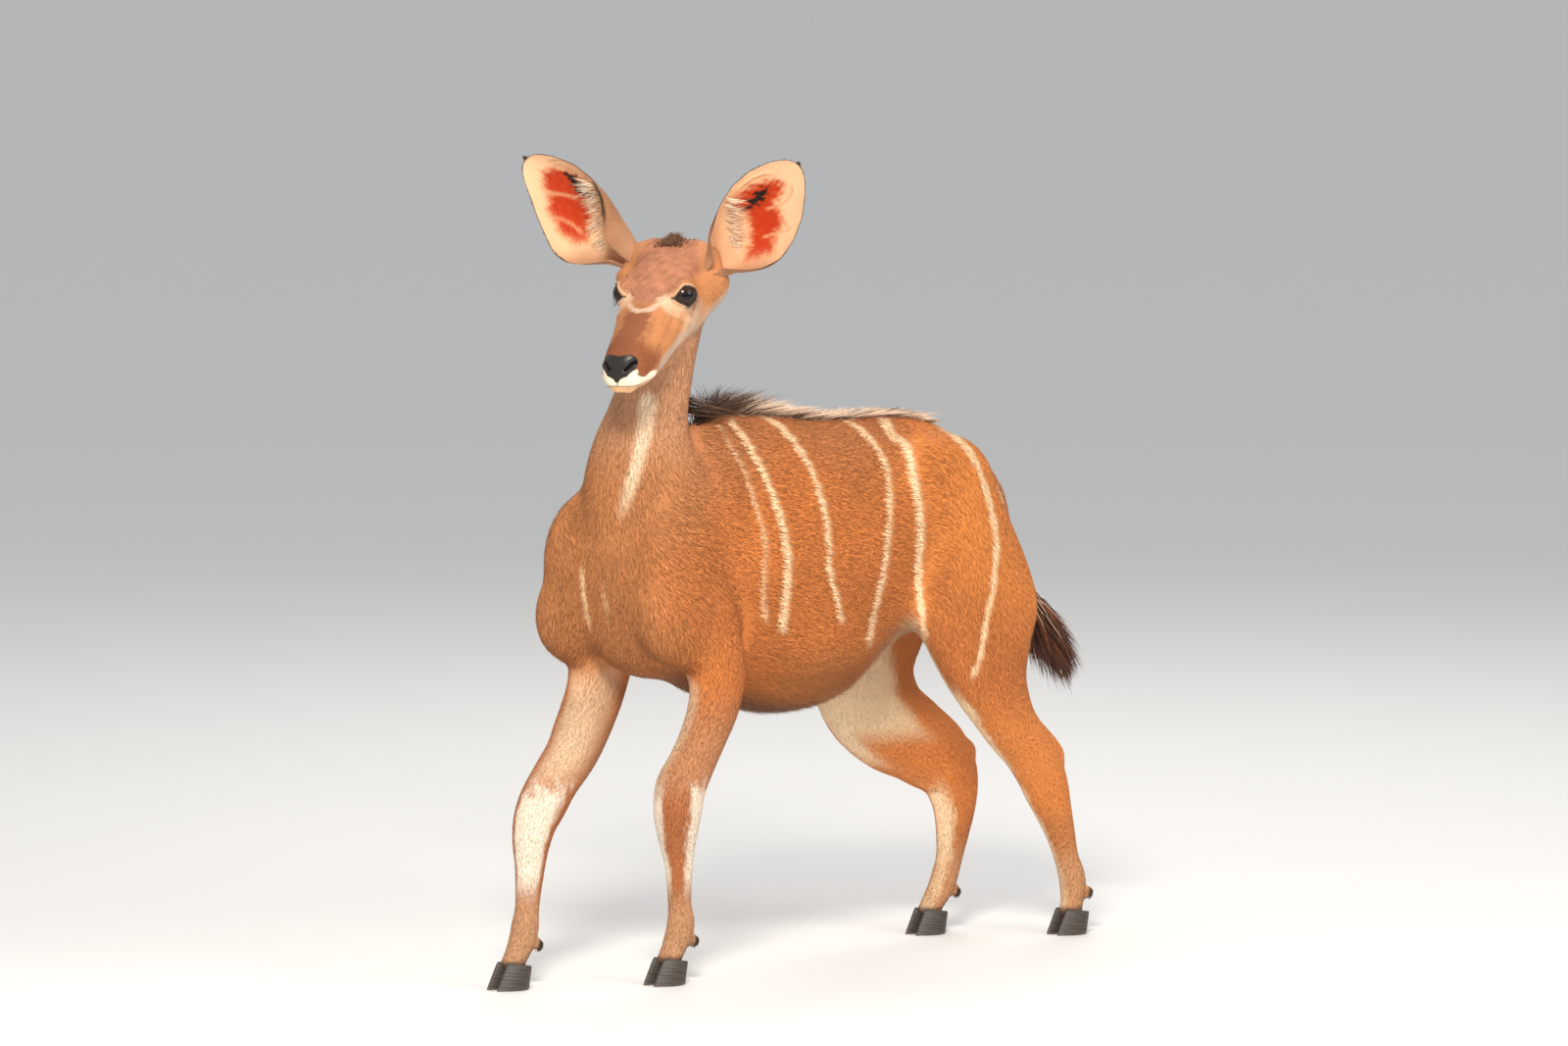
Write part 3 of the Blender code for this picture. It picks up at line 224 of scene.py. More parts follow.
def tube(rows, side=(0, 1, 0), ring=32, step=0.01, dome=0.6):
    """A closed loft. A row is forward, left, up, half width, front, back, pinch in front,
    pinch behind and squareness."""
    rows = [list(r) + [0.0] * (9 - len(r)) for r in rows]
    rows = fill(rows, step)
    centre = rows[:, :3]
    along = np.gradient(centre, axis=0)
    along /= np.linalg.norm(along, axis=1)[:, None]
    verts, faces = [], []

    def add(c, t, row, scale):
        s = np.asarray(side, float)
        s = unit(s - s.dot(t) * t)
        u = np.cross(t, s)
        w, front, back, pinch_f, pinch_b, square = row[3:9]
        e = 2.0 / (2.0 + square)
        start = len(verts)
        for k in range(ring):
            x, y = cos(tau * k / ring), sin(tau * k / ring)
            sx = np.sign(x) * abs(x) ** e
            sy = np.sign(y) * abs(y) ** e
            wide = w * (1 - (pinch_f * sy if y > 0 else -pinch_b * sy))
            deep = front if y > 0 else back
            verts.append(c + scale * (s * wide * sx + u * deep * sy))
        return start

    starts = []
    cap = dome * (rows[0, 3] + rows[0, 4] + rows[0, 5]) / 3
    top = centre[0] - along[0] * cap
    for a in (75, 50, 25):
        starts.append(add(centre[0] - along[0] * cap * sin(radians(a)), along[0], rows[0], cos(radians(a))))
    for i in range(len(rows)):
        starts.append(add(centre[i], along[i], rows[i], 1.0))
    cap = dome * (rows[-1, 3] + rows[-1, 4] + rows[-1, 5]) / 3
    for a in (25, 50, 75):
        tip = centre[-1] + along[-1] * cap * sin(radians(a))
        starts.append(add(tip, along[-1], rows[-1], cos(radians(a))))
    verts.append(top)
    verts.append(centre[-1] + along[-1] * cap)
    first, last = len(verts) - 2, len(verts) - 1
    for i in range(len(starts) - 1):
        for k in range(ring):
            a, b = starts[i] + k, starts[i] + (k + 1) % ring
            c, d = starts[i + 1] + (k + 1) % ring, starts[i + 1] + k
            faces.append((a, b, c, d))
    for k in range(ring):
        faces.append((first, starts[0] + (k + 1) % ring, starts[0] + k))
        faces.append((last, starts[-1] + k, starts[-1] + (k + 1) % ring))
    return np.array(verts), faces


def ball(centre, radii, axes=((1, 0, 0), (0, 1, 0), (0, 0, 1)), rings=14, ring=24):
    """An ellipsoid on its own three axes."""
    axes = np.array([unit(a) for a in axes])
    centre = np.asarray(centre, float)
    verts = [centre + radii[2] * axes[2]]
    faces = []
    for i in range(1, rings):
        a = pi * i / rings
        for k in range(ring):
            b = tau * k / ring
            verts.append(centre + radii[0] * sin(a) * cos(b) * axes[0]
                         + radii[1] * sin(a) * sin(b) * axes[1] + radii[2] * cos(a) * axes[2])
    verts.append(centre - radii[2] * axes[2])
    for k in range(ring):
        faces.append((0, 1 + k, 1 + (k + 1) % ring))
        end = 1 + (rings - 2) * ring
        faces.append((len(verts) - 1, end + (k + 1) % ring, end + k))
    for i in range(rings - 2):
        for k in range(ring):
            a, b = 1 + i * ring + k, 1 + i * ring + (k + 1) % ring
            faces.append((a, a + ring, b + ring, b))
    if np.linalg.det(axes) < 0:
        faces = [face[::-1] for face in faces]
    return np.array(verts), faces


def head_ball(place_at, radii, turn=0.0):
    """An ellipsoid on the head's axes, turned in the side plane by some degrees."""
    t = radians(turn)
    a = HEAD_ALONG * cos(t) + HEAD_SIDE * sin(t)
    s = HEAD_SIDE * cos(t) - HEAD_ALONG * sin(t)
    return ball(on_head(*place_at), radii, (a, s, HEAD_RISE))


# Making objects
def make(name, verts, faces, placed=False):
    mesh = bpy.data.meshes.new(name)
    mesh.from_pydata((verts if placed else place(verts)).tolist(), [], [list(f) for f in faces])
    mesh.update()
    obj = bpy.data.objects.new(name, mesh)
    bpy.context.collection.objects.link(obj)
    return obj


def gather(pieces):
    verts, faces, n = [], [], 0
    for v, f in pieces:
        verts.append(v)
        faces += [tuple(i + n for i in face) for face in f]
        n += len(v)
    return np.concatenate(verts), faces


def bake(obj):
    """The object's modifiers made part of its mesh."""
    bpy.context.view_layer.update()
    graph = bpy.context.evaluated_depsgraph_get()
    mesh = bpy.data.meshes.new_from_object(obj.evaluated_get(graph))
    obj.modifiers.clear()
    obj.data = mesh
    return obj


# The animal's soft outline
def torso_pieces():
    back = [
        # forward, left, height of the widest level, half width, up, down, pinch up, pinch down, square
        (-0.452, 0, 0.700, 0.048, 0.075, 0.10, 0.2, 0.1, 0.2),
        (-0.430, 0, 0.700, 0.070, 0.110, 0.13, 0.2, 0.1, 0.2),
        (-0.390, 0, 0.700, 0.092, 0.143, 0.155, 0.3, 0.1, 0.2),
        (-0.340, 0, 0.700, 0.108, 0.168, 0.170, 0.35, 0.1, 0.2),
        (-0.280, 0, 0.700, 0.114, 0.184, 0.175, 0.35, 0.1, 0.2),
        (-0.210, 0, 0.695, 0.116, 0.197, 0.180, 0.30, 0.1, 0.2),
        (-0.140, 0, 0.680, 0.121, 0.216, 0.200, 0.30, 0.1, 0.2),
        (-0.050, 0, 0.660, 0.128, 0.239, 0.236, 0.30, 0.1, 0.2),
        (0.030, 0, 0.655, 0.130, 0.247, 0.242, 0.35, 0.15, 0.2),
        (0.110, 0, 0.660, 0.126, 0.252, 0.230, 0.42, 0.25, 0.2),
        (0.180, 0, 0.665, 0.118, 0.248, 0.217, 0.50, 0.38, 0.2),
        (0.250, 0, 0.665, 0.112, 0.205, 0.205, 0.45, 0.45, 0.3),
        (0.310, 0, 0.655, 0.110, 0.150, 0.180, 0.3, 0.40, 0.5),
        (0.355, 0, 0.645, 0.100, 0.110, 0.162, 0.2, 0.35, 0.8),
        (0.385, 0, 0.640, 0.080, 0.080, 0.138, 0.1, 0.30, 0.8),
    ]
    neck = [
        (0.255, 0.000, 0.580, 0.096, 0.125, 0.122, 0.0, 0.1, 0.6),
        (0.272, 0.000, 0.660, 0.104, 0.130, 0.124, 0.0, 0.3, 0.8),
        (0.294, -0.004, 0.735, 0.113, 0.124, 0.121, 0.0, 0.45, 0.9),
        (0.308, -0.009, 0.800, 0.104, 0.108, 0.107, 0.0, 0.45, 0.8),
        (0.312, -0.005, 0.860, 0.083, 0.087, 0.086, 0.0, 0.36, 0.6),
        (0.305, 0.012, 0.930, 0.056, 0.069, 0.071, 0.0, 0.25, 0.3),
        (0.295, 0.026, 1.000, 0.048, 0.060, 0.063, 0.0, 0.20, 0.1),
        (0.288, 0.038, 1.060, 0.050, 0.058, 0.058, 0.0, 0.15, 0.1),
        (0.282, 0.045, 1.110, 0.052, 0.054, 0.050, 0.0, 0.15, 0.0),
        (0.278, 0.048, 1.150, 0.048, 0.042, 0.042, 0.0, 0.20, 0.0),
    ]
    pieces = [tube(back, step=0.02, ring=40, dome=0.35), tube(neck, step=0.02, ring=36)]
    # shoulder blades and the points of the shoulders
    for side, ahead in ((1, 0.0), (-1, 0.056)):
        lean = ((0.45, 0, -1), (0, 1, 0), (1, 0, 0.45))
        pieces.append(ball((0.225 + ahead, side * 0.070, 0.690), (0.135, 0.042, 0.090), lean))
        pieces.append(ball((0.300 + ahead, side * 0.082, 0.670), (0.090, 0.052, 0.125)))
        pieces.append(ball((0.314 + ahead, side * 0.093, 0.590), (0.086, 0.047, 0.090)))
        # hip
        pieces.append(ball((-0.300, side * 0.062, 0.750), (0.120, 0.056, 0.110)))
    return pieces


FORE_LEFT = [
    (0.285, 0.085, 0.640, 0.042, 0.070, 0.075),
    (0.255, 0.092, 0.560, 0.044, 0.066, 0.070),
    (0.238, 0.096, 0.500, 0.043, 0.057, 0.058),
    (0.244, 0.097, 0.450, 0.041, 0.049, 0.048),
    (0.264, 0.094, 0.400, 0.037, 0.043, 0.041),
    (0.286, 0.090, 0.355, 0.036, 0.042, 0.040),
    (0.305, 0.086, 0.318, 0.039, 0.046, 0.042),
    (0.309, 0.083, 0.285, 0.038, 0.045, 0.042),
    (0.308, 0.080, 0.255, 0.034, 0.040, 0.038),
    (0.305, 0.077, 0.225, 0.028, 0.033, 0.032),
    (0.302, 0.076, 0.190, 0.0220, 0.0255, 0.0255),
    (0.299, 0.074, 0.130, 0.0185, 0.0205, 0.0220),
    (0.296, 0.073, 0.098, 0.0215, 0.0235, 0.0265),
    (0.301, 0.072, 0.075, 0.0220, 0.0230, 0.0250),
    (0.312, 0.071, 0.052, 0.0205, 0.0200, 0.0205),
    (0.320, 0.070, 0.034, 0.0215, 0.0205, 0.0195),
]
FORE_RIGHT = [
    (0.318, -0.086, 0.640, 0.044, 0.074, 0.078),
    (0.310, -0.095, 0.560, 0.045, 0.072, 0.072),
    (0.312, -0.099, 0.500, 0.044, 0.064, 0.063),
    (0.332, -0.097, 0.450, 0.043, 0.057, 0.056),
    (0.361, -0.091, 0.405, 0.041, 0.052, 0.052),
    (0.392, -0.084, 0.365, 0.039, 0.045, 0.048),
    (0.433, -0.077, 0.325, 0.038, 0.043, 0.043),
    (0.462, -0.072, 0.292, 0.037, 0.044, 0.043),
    (0.482, -0.069, 0.262, 0.033, 0.040, 0.039),
    (0.492, -0.067, 0.230, 0.029, 0.034, 0.034),
    (0.497, -0.065, 0.190, 0.0235, 0.0265, 0.0270),
    (0.505, -0.063, 0.130, 0.0190, 0.0215, 0.0230),
    (0.511, -0.062, 0.098, 0.0215, 0.0235, 0.0265),
    (0.518, -0.061, 0.075, 0.0220, 0.0230, 0.0250),
    (0.531, -0.060, 0.052, 0.0205, 0.0200, 0.0205),
    (0.540, -0.060, 0.034, 0.0215, 0.0205, 0.0195),
]
HIND_LEFT = [
    (-0.3, 0.068, 0.76, 0.045, 0.09, 0.11),
    (-0.31, 0.078, 0.68, 0.052, 0.112, 0.135),
    (-0.322, 0.087, 0.6, 0.055, 0.116, 0.152),
    (-0.335, 0.095, 0.53, 0.054, 0.106, 0.152),
    (-0.352, 0.101, 0.47, 0.05, 0.082, 0.118),
    (-0.378, 0.104, 0.415, 0.043, 0.060, 0.078),
    (-0.416, 0.102, 0.365, 0.037, 0.051, 0.057),
    (-0.458, 0.098, 0.325, 0.033, 0.048, 0.051),
    (-0.491, 0.095, 0.288, 0.032, 0.048, 0.048),
    (-0.513, 0.092, 0.252, 0.031, 0.045, 0.045),
    (-0.532, 0.089, 0.215, 0.027, 0.037, 0.037),
    (-0.551, 0.086, 0.175, 0.0225, 0.0290, 0.0300),
    (-0.569, 0.083, 0.13, 0.0195, 0.0230, 0.0245),
    (-0.583, 0.081, 0.098, 0.0215, 0.0240, 0.0265),
    (-0.588, 0.08, 0.075, 0.0220, 0.0235, 0.0250),
    (-0.586, 0.08, 0.052, 0.0205, 0.0200, 0.0205),
    (-0.582, 0.08, 0.034, 0.0215, 0.0205, 0.0195),
]
HIND_RIGHT = [
    (-0.285, -0.068, 0.76, 0.045, 0.09, 0.11),
    (-0.28, -0.082, 0.68, 0.052, 0.115, 0.13),
    (-0.275, -0.092, 0.6, 0.055, 0.12, 0.140),
    (-0.272, -0.1, 0.53, 0.054, 0.120, 0.145),
    (-0.276, -0.107, 0.47, 0.053, 0.117, 0.142),
    (-0.298, -0.11, 0.41, 0.049, 0.104, 0.116),
    (-0.342, -0.108, 0.362, 0.043, 0.090, 0.084),
    (-0.398, -0.103, 0.325, 0.037, 0.076, 0.074),
    (-0.446, -0.098, 0.292, 0.034, 0.069, 0.068),
    (-0.470, -0.094, 0.256, 0.032, 0.061, 0.060),
    (-0.476, -0.091, 0.215, 0.028, 0.048, 0.048),
    (-0.470, -0.088, 0.17, 0.0240, 0.0350, 0.0360),
    (-0.460, -0.086, 0.125, 0.0210, 0.0255, 0.0270),
    (-0.448, -0.084, 0.096, 0.0215, 0.0240, 0.0265),
    (-0.437, -0.083, 0.074, 0.0220, 0.0235, 0.0250),
    (-0.419, -0.082, 0.052, 0.0205, 0.0200, 0.0205),
    (-0.409, -0.082, 0.034, 0.0215, 0.0205, 0.0195),
]
HEELS = {"hindleg_left": (-0.042, 0, 0.020), "hindleg_right": (-0.068, 0, 0.010)}
LEGS = {"foreleg_left": FORE_LEFT, "foreleg_right": FORE_RIGHT,
        "hindleg_left": HIND_LEFT, "hindleg_right": HIND_RIGHT}


def head_pieces():
    skull = [
        # along the face, shift, height, half width, up, down, pinch up, pinch down, square
        (-0.026, 0.0, -0.030, 0.036, 0.028, 0.030, 0.0, 0.2, 0.0),
        (-0.010, 0.0, -0.026, 0.050, 0.042, 0.052, 0.0, 0.2, 0.0),
        (0.018, 0.0, -0.022, 0.058, 0.054, 0.064, 0.1, 0.15, 0.1),
        (0.046, 0.0, -0.020, 0.062, 0.063, 0.067, 0.1, 0.2, 0.2),
        (0.076, 0.0, -0.018, 0.0645, 0.064, 0.068, 0.1, 0.25, 0.3),
        (0.106, 0.0, -0.016, 0.065, 0.059, 0.067, 0.1, 0.3, 0.3),
        (0.136, 0.0, -0.014, 0.063, 0.053, 0.064, 0.15, 0.35, 0.3),
        (0.166, -0.001, -0.012, 0.058, 0.0480, 0.060, 0.15, 0.35, 0.3),
        (0.196, -0.002, -0.011, 0.0520, 0.0465, 0.057, 0.15, 0.3, 0.3),
        (0.226, -0.004, -0.010, 0.0465, 0.0460, 0.049, 0.15, 0.25, 0.3),
        (0.246, -0.005, -0.008, 0.0430, 0.0440, 0.041, 0.1, 0.2, 0.35),
        (0.258, -0.006, -0.007, 0.0400, 0.0390, 0.035, 0.1, 0.2, 0.4),
        (0.268, -0.006, -0.007, 0.0370, 0.0330, 0.0310, 0.1, 0.2, 0.4),
        (0.277, -0.006, -0.008, 0.0335, 0.0270, 0.0270, 0.1, 0.2, 0.4),
        (0.285, -0.006, -0.009, 0.0285, 0.0200, 0.0225, 0.1, 0.2, 0.4),
        (0.291, -0.006, -0.009, 0.0215, 0.0130, 0.0170, 0.1, 0.2, 0.4),
        (0.295, -0.006, -0.009, 0.0120, 0.0070, 0.0100, 0.1, 0.2, 0.4),
    ]
    rows = []
    for a, s, h, w, up, down, pu, pd, sq in skull:
        rows.append(tuple(on_head(a, s, h)) + (w, up, down, pu, pd, sq))
    pieces = [tube(rows, side=HEAD_SIDE, step=0.006, ring=40, dome=0.3)]
    for side in (1, -1):
        a, s, h = EYE_PLACE
        # ring of bone round the eye, brow, jaw angle and cheek
        pieces.append(head_ball((a, side * s, h), (0.0270, 0.0262, 0.0258)))
        pieces.append(head_ball((a - 0.020, side * 0.040, h + 0.004), (0.032, 0.020, 0.020)))
        pieces.append(head_ball((a + 0.022, side * 0.044, h - 0.014), (0.036, 0.018, 0.020)))
        pieces.append(head_ball((0.078, side * 0.040, -0.046), (0.050, 0.020, 0.038)))
        pieces.append(head_ball((0.155, side * 0.036, -0.022), (0.055, 0.018, 0.028), -side * 12))
        # side of the muzzle above the corner of the mouth
        pieces.append(head_ball((0.236, side * 0.0250, -0.016), (0.034, 0.0170, 0.0180)))
        # root of the ear, and the flesh between it and the jaw
        out = side * EAR_OUT[side]
        root = on_head(0.012, side * 0.036, -0.004)
        mouth = np.array(POLL) - 0.010 * FACING + out * HEAD_SIDE - 0.027 * UP
        way = mouth - root
        stem = []
        for t, w, d in ((0.0, 0.038, 0.034), (0.3, 0.034, 0.030), (0.55, 0.027, 0.023), (0.75, 0.021, 0.018)):
            stem.append(tuple(root + way * t) + (w, d, d))
        pieces.append(tube(stem, side=UP, step=0.008, ring=24))
        pieces.append(head_ball((0.020, side * 0.036, -0.050), (0.044, 0.026, 0.042)))
        web = []
        for t, below, w in ((0.92, 0.032, 0.019), (0.74, 0.041, 0.025),
                            (0.45, 0.054, 0.028), (0.10, 0.074, 0.024)):
            web.append(tuple(root + way * t - below * UP) + (w, w, w))
        pieces.append(tube(web, side=HEAD_ALONG, step=0.008, ring=24))
    pieces.append(head_ball((0.010, 0, 0.018), (0.030, 0.024, 0.014)))
    return pieces


def leg_pieces():
    pieces = []
    for name, rows in LEGS.items():
        pieces.append(tube(rows, step=0.012, ring=24, dome=0.5))
        f, l, u = rows[-3][:3]
        for side in (1, -1):
            pieces.append(ball((f - 0.027, l + side * 0.012, u - 0.008), (0.009, 0.0075, 0.011)))
        if name.startswith("hind"):
            # point of the hock and the tendon above it
            hock, gaskin = np.array(rows[8][:3]), np.array(rows[6][:3])
            heel = hock + HEELS[name]
            cord = [tuple(gaskin + np.array([-0.030, 0, 0.020])) + (0.013, 0.013, 0.013),
                    tuple(heel) + (0.015, 0.014, 0.014),
                    tuple(hock + np.array([-0.022, 0, -0.030])) + (0.014, 0.014, 0.014)]
            pieces.append(tube(cord, step=0.01, ring=16))
    return pieces


def relax(obj, rounds, spots=()):
    """Evens the net without shrinking it, then softens the joins at some spots."""
    mesh = obj.data
    count = len(mesh.vertices)
    co = np.empty(count * 3)
    mesh.vertices.foreach_get("co", co)
    co = co.reshape(-1, 3)
    edges = np.empty(len(mesh.edges) * 2, dtype=np.int64)
    mesh.edges.foreach_get("vertices", edges)
    a, b = edges.reshape(-1, 2).T
    near = np.bincount(a, minlength=count) + np.bincount(b, minlength=count)

    def step(share):
        total = np.stack([np.bincount(a, co[b, k], count) + np.bincount(b, co[a, k], count)
                          for k in range(3)], axis=1)
        return share * (total / near[:, None] - co)

    for _ in range(rounds):
        co += step(0.5)
        co += step(-0.53)
    if spots:
        weight = np.zeros(count)
        for point, radius, power in spots:
            d = np.linalg.norm(co - place(point), axis=1) / radius
            weight = np.maximum(weight, power * np.clip(1.5 - 1.5 * d, 0, 1))
        trunk = np.clip((co[:, 2] - 0.50) / 0.05, 0, 1) * np.clip((0.92 - co[:, 2]) / 0.10, 0, 1)
        trunk = trunk * np.clip((0.46 - abs(co[:, 1] - place((0.0, 0, 0))[1])) / 0.05, 0, 1)
        weight = np.maximum(weight, 0.7 * trunk)
        face = np.linalg.norm(co - place(on_head(0.16, 0, -0.01)), axis=1)
        face = 0.12 * np.clip((0.20 - face) / 0.04, 0, 1)
        weight = np.maximum(weight, face)
        for _ in range(110):
            co += step(0.5) * weight[:, None]
    mesh.vertices.foreach_set("co", co.ravel())
    mesh.update()


SOFT_SPOTS = (
    ((0.30, 0.10, 0.52), 0.15, 1.0), ((0.33, -0.10, 0.52), 0.15, 1.0),
    ((0.22, 0.04, 0.48), 0.10, 1.0), ((0.25, -0.04, 0.48), 0.10, 1.0),
    ((-0.24, 0.10, 0.55), 0.18, 1.0), ((-0.20, -0.10, 0.55), 0.18, 1.0),
    ((-0.34, 0.0, 0.55), 0.14, 1.0), ((0.28, 0.0, 0.80), 0.20, 1.0),
    ((0.16, 0.0, 0.86), 0.18, 1.0), ((0.25, 0.10, 0.70), 0.20, 1.0),
    ((0.28, -0.10, 0.70), 0.20, 1.0), ((-0.40, 0.0, 0.74), 0.18, 1.0),
    ((-0.28, 0.08, 0.74), 0.18, 1.0), ((-0.28, -0.08, 0.74), 0.18, 1.0),
    ((0.38, 0.0, 0.62), 0.18, 1.0), ((0.30, 0.04, 1.06), 0.10, 0.6),
)
EAR_SPOTS = tuple((tuple(on_head(0.0, side * 0.055, -0.020)), 0.075, 0.5) for side in (1, -1))


# Strokes that press or raise the head: along, side, height, radius, how far out, both sides or one
STROKES = [
    # lower lip and chin set back from the upper lip
    (0.289, 0.0, -0.024, 0.014, -0.0030, 0),
    (0.270, 0.018, -0.034, 0.012, -0.0020, 1),
    # nostril wings and the dip above the pad
    (0.262, 0.027, 0.016, 0.012, 0.0030, 1),
    (0.246, 0.000, 0.036, 0.012, -0.0010, 0),
    # upper lip pads beside the cleft
    (0.284, 0.017, 0.002, 0.011, 0.0025, 1),
    (0.268, 0.034, -0.008, 0.014, 0.0025, 1),
    (0.244, 0.042, -0.020, 0.016, 0.0020, 1),
    # mouth corner fold, hollow before the eye and the ridge under it
    (0.210, 0.046, -0.036, 0.012, -0.0025, 1),
    (0.160, 0.050, 0.012, 0.018, -0.0020, 1),
    (0.190, 0.052, -0.004, 0.022, -0.0010, 1),
    (0.148, 0.062, -0.016, 0.018, 0.0015, 1),
    # temple behind the eye and the hollow of the cheek
    (0.060, 0.060, 0.008, 0.020, -0.0030, 1),
    (0.200, 0.044, -0.045, 0.022, -0.0015, 1),
]


def sculpt(obj, strokes):
    """Presses or raises the surface round each stroke along its own normals."""
    mesh = obj.data
    co = np.array([v.co[:] for v in mesh.vertices])
    normal = np.array([v.normal[:] for v in mesh.vertices])
    for a, s, h, radius, out, both in strokes:
        for side in (1, -1)[:both + 1]:
            middle = place(on_head(a, side * s + (MUZZLE_SHIFT if a > 0.2 else 0.0), h))
            far = np.linalg.norm(co - middle, axis=1) / radius
            co += normal * (np.clip(1 - far * far, 0, 1) ** 2 * out)[:, None]
    mesh.vertices.foreach_set("co", co.ravel())
    mesh.update()


def mouth_line(t):
    """Along, side, height of the parting of the lips, from one corner at -1 to the other at 1."""
    u = abs(t)
    a = MOUTH_FRONT[0] + (MOUTH_CORNER[0] - MOUTH_FRONT[0]) * (0.35 * u ** 3 + 0.65 * u ** 1.9)
    h = MOUTH_FRONT[1] + (MOUTH_CORNER[1] - MOUTH_FRONT[1]) * u ** 1.35
    return a, 0.050 * sin(t * pi / 2), h


# The skin
COAT_DEPTH = 0.0030         # how far the skin lies inside the coat on the trunk and neck
LEG_DEPTH = 0.0014
FACE_DEPTH = 0.0008


def read_mesh(mesh):
    co = np.empty(len(mesh.vertices) * 3)
    mesh.vertices.foreach_get("co", co)
    no = np.empty(len(mesh.vertices) * 3)
    mesh.vertex_normals.foreach_get("vector", no)
    return co.reshape(-1, 3), no.reshape(-1, 3)


def write_mesh(mesh, co):
    mesh.vertices.foreach_set("co", np.asarray(co, float).ravel())
    mesh.update()


def mesh_edges(mesh):
    edges = np.empty(len(mesh.edges) * 2, dtype=np.int64)
    mesh.edges.foreach_get("vertices", edges)
    return edges.reshape(-1, 2)


def even(mesh, weight, rounds, share=0.5):
    """Softens the mesh where the weight is above nought."""
    co, _ = read_mesh(mesh)
    a, b = mesh_edges(mesh).T
    count = len(co)
    near = np.bincount(a, minlength=count) + np.bincount(b, minlength=count)
    for _ in range(rounds):
        total = np.stack([np.bincount(a, co[b, k], count) + np.bincount(b, co[a, k], count)
                          for k in range(3)], axis=1)
        co += (share * weight)[:, None] * (total / near[:, None] - co)
    write_mesh(mesh, co)


def finer(obj, wanted):
    """Cuts the faces in two each way where wanted(points) is true."""
    bm = bmesh.new()
    bm.from_mesh(obj.data)
    co = flu(np.array([v.co[:] for v in bm.verts]))
    pick = wanted(co)
    bm.verts.ensure_lookup_table()
    faces = [f for f in bm.faces if all(pick[v.index] for v in f.verts)]
    edges = list({e for f in faces for e in f.edges})
    bmesh.ops.subdivide_edges(bm, edges=edges, cuts=1, use_grid_fill=True)
    bmesh.ops.triangulate(bm, faces=[f for f in bm.faces if len(f.verts) > 4])
    bm.to_mesh(obj.data)
    bm.free()


def eye_frame(side):
    """The middle of an eye and its own axes: along the lids, across them and outward."""
    a, s, h = EYE_PLACE
    centre = on_head(a, side * s, h)
    aim = unit(EYE_AIM[0] * HEAD_ALONG + side * EYE_AIM[1] * HEAD_SIDE + EYE_AIM[2] * HEAD_RISE)
    level = EYE_LEVEL[0] * HEAD_ALONG + side * EYE_LEVEL[1] * HEAD_SIDE + EYE_LEVEL[2] * HEAD_RISE
    level = unit(level - level.dot(aim) * aim)
    over = np.cross(aim, level) * side
    return centre, level, over, aim


LID_WIDE = 0.0192           # half the opening between the lids
LID_TALL = 0.0162
LID_LIFT = 0.0010           # how far the lid's edge stands off the eye
EYE_CORNER = -0.0018        # the point that runs from the eye towards the nose
SOCKET_REACH = 0.0130       # how far from the edge the lids still shape the skin


def lid_edge(p, side):
    """Distance outside the opening of the lids along the ball, the height across it and the radius."""
    centre, level, over, aim = eye_frame(side)
    d = p - centre
    far = np.linalg.norm(d, axis=1)
    u = d / np.maximum(far, 1e-9)[:, None]
    x = u @ level * EYE_RADIUS
    y = u @ over * EYE_RADIUS
    wide = LID_WIDE + EYE_CORNER * (x > 0)
    tall = LID_TALL * (1 - 0.25 * np.clip(abs(x) / wide, 0, 1) - 0.18 * (x > 0) * np.clip(x / wide, 0, 1))
    tall = tall * np.where(y < 0, 0.88, 1.0)
    q = np.sqrt((x / wide) ** 2 + (y / tall) ** 2)
    slope = np.sqrt((x / wide ** 2) ** 2 + (y / tall ** 2) ** 2) / np.maximum(q, 1e-6)
    s = np.where(u @ aim > 0, (q - 1) / np.maximum(slope, 1e-6), 1.0)
    return s, x, y, far


def shape_lids(co, n):
    """Sets the lids on the ball of the eye: a thick edge, a fold above it and a soft rise to the brow."""
    for side in (1, -1):
        centre = eye_frame(side)[0]
        s, x, y, far = lid_edge(co, side)
        near = (far < EYE_RADIUS + 0.020) & (s < SOCKET_REACH)
        u = (co - centre) / np.maximum(far, 1e-9)[:, None]
        edge = EYE_RADIUS + LID_LIFT
        upper = smooth(y, -0.002, 0.004)
        lid = edge + 0.0006 * smooth(s, 0, 0.0012) + 0.0006 * upper * np.exp(-((s - 0.0030) / 0.0016) ** 2)
        fold = 0.0008 * upper * np.exp(-((s - 0.0060) / 0.0011) ** 2)
        fold += 0.0007 * (1 - upper) * np.exp(-((s - 0.0052) / 0.0012) ** 2)
        reach = smooth(s, 0.0020, SOCKET_REACH)
        target = (lid - fold) * (1 - reach) + np.maximum(far, edge) * reach
        target = np.where(s < 0, EYE_RADIUS - 0.0050, target)
        rim = smooth(s, -0.0012, 0.0)
        target = np.where(s < 0, target * (1 - rim) + edge * rim, target)
        co = np.where(near[:, None], centre + u * target[:, None], co)
    return co


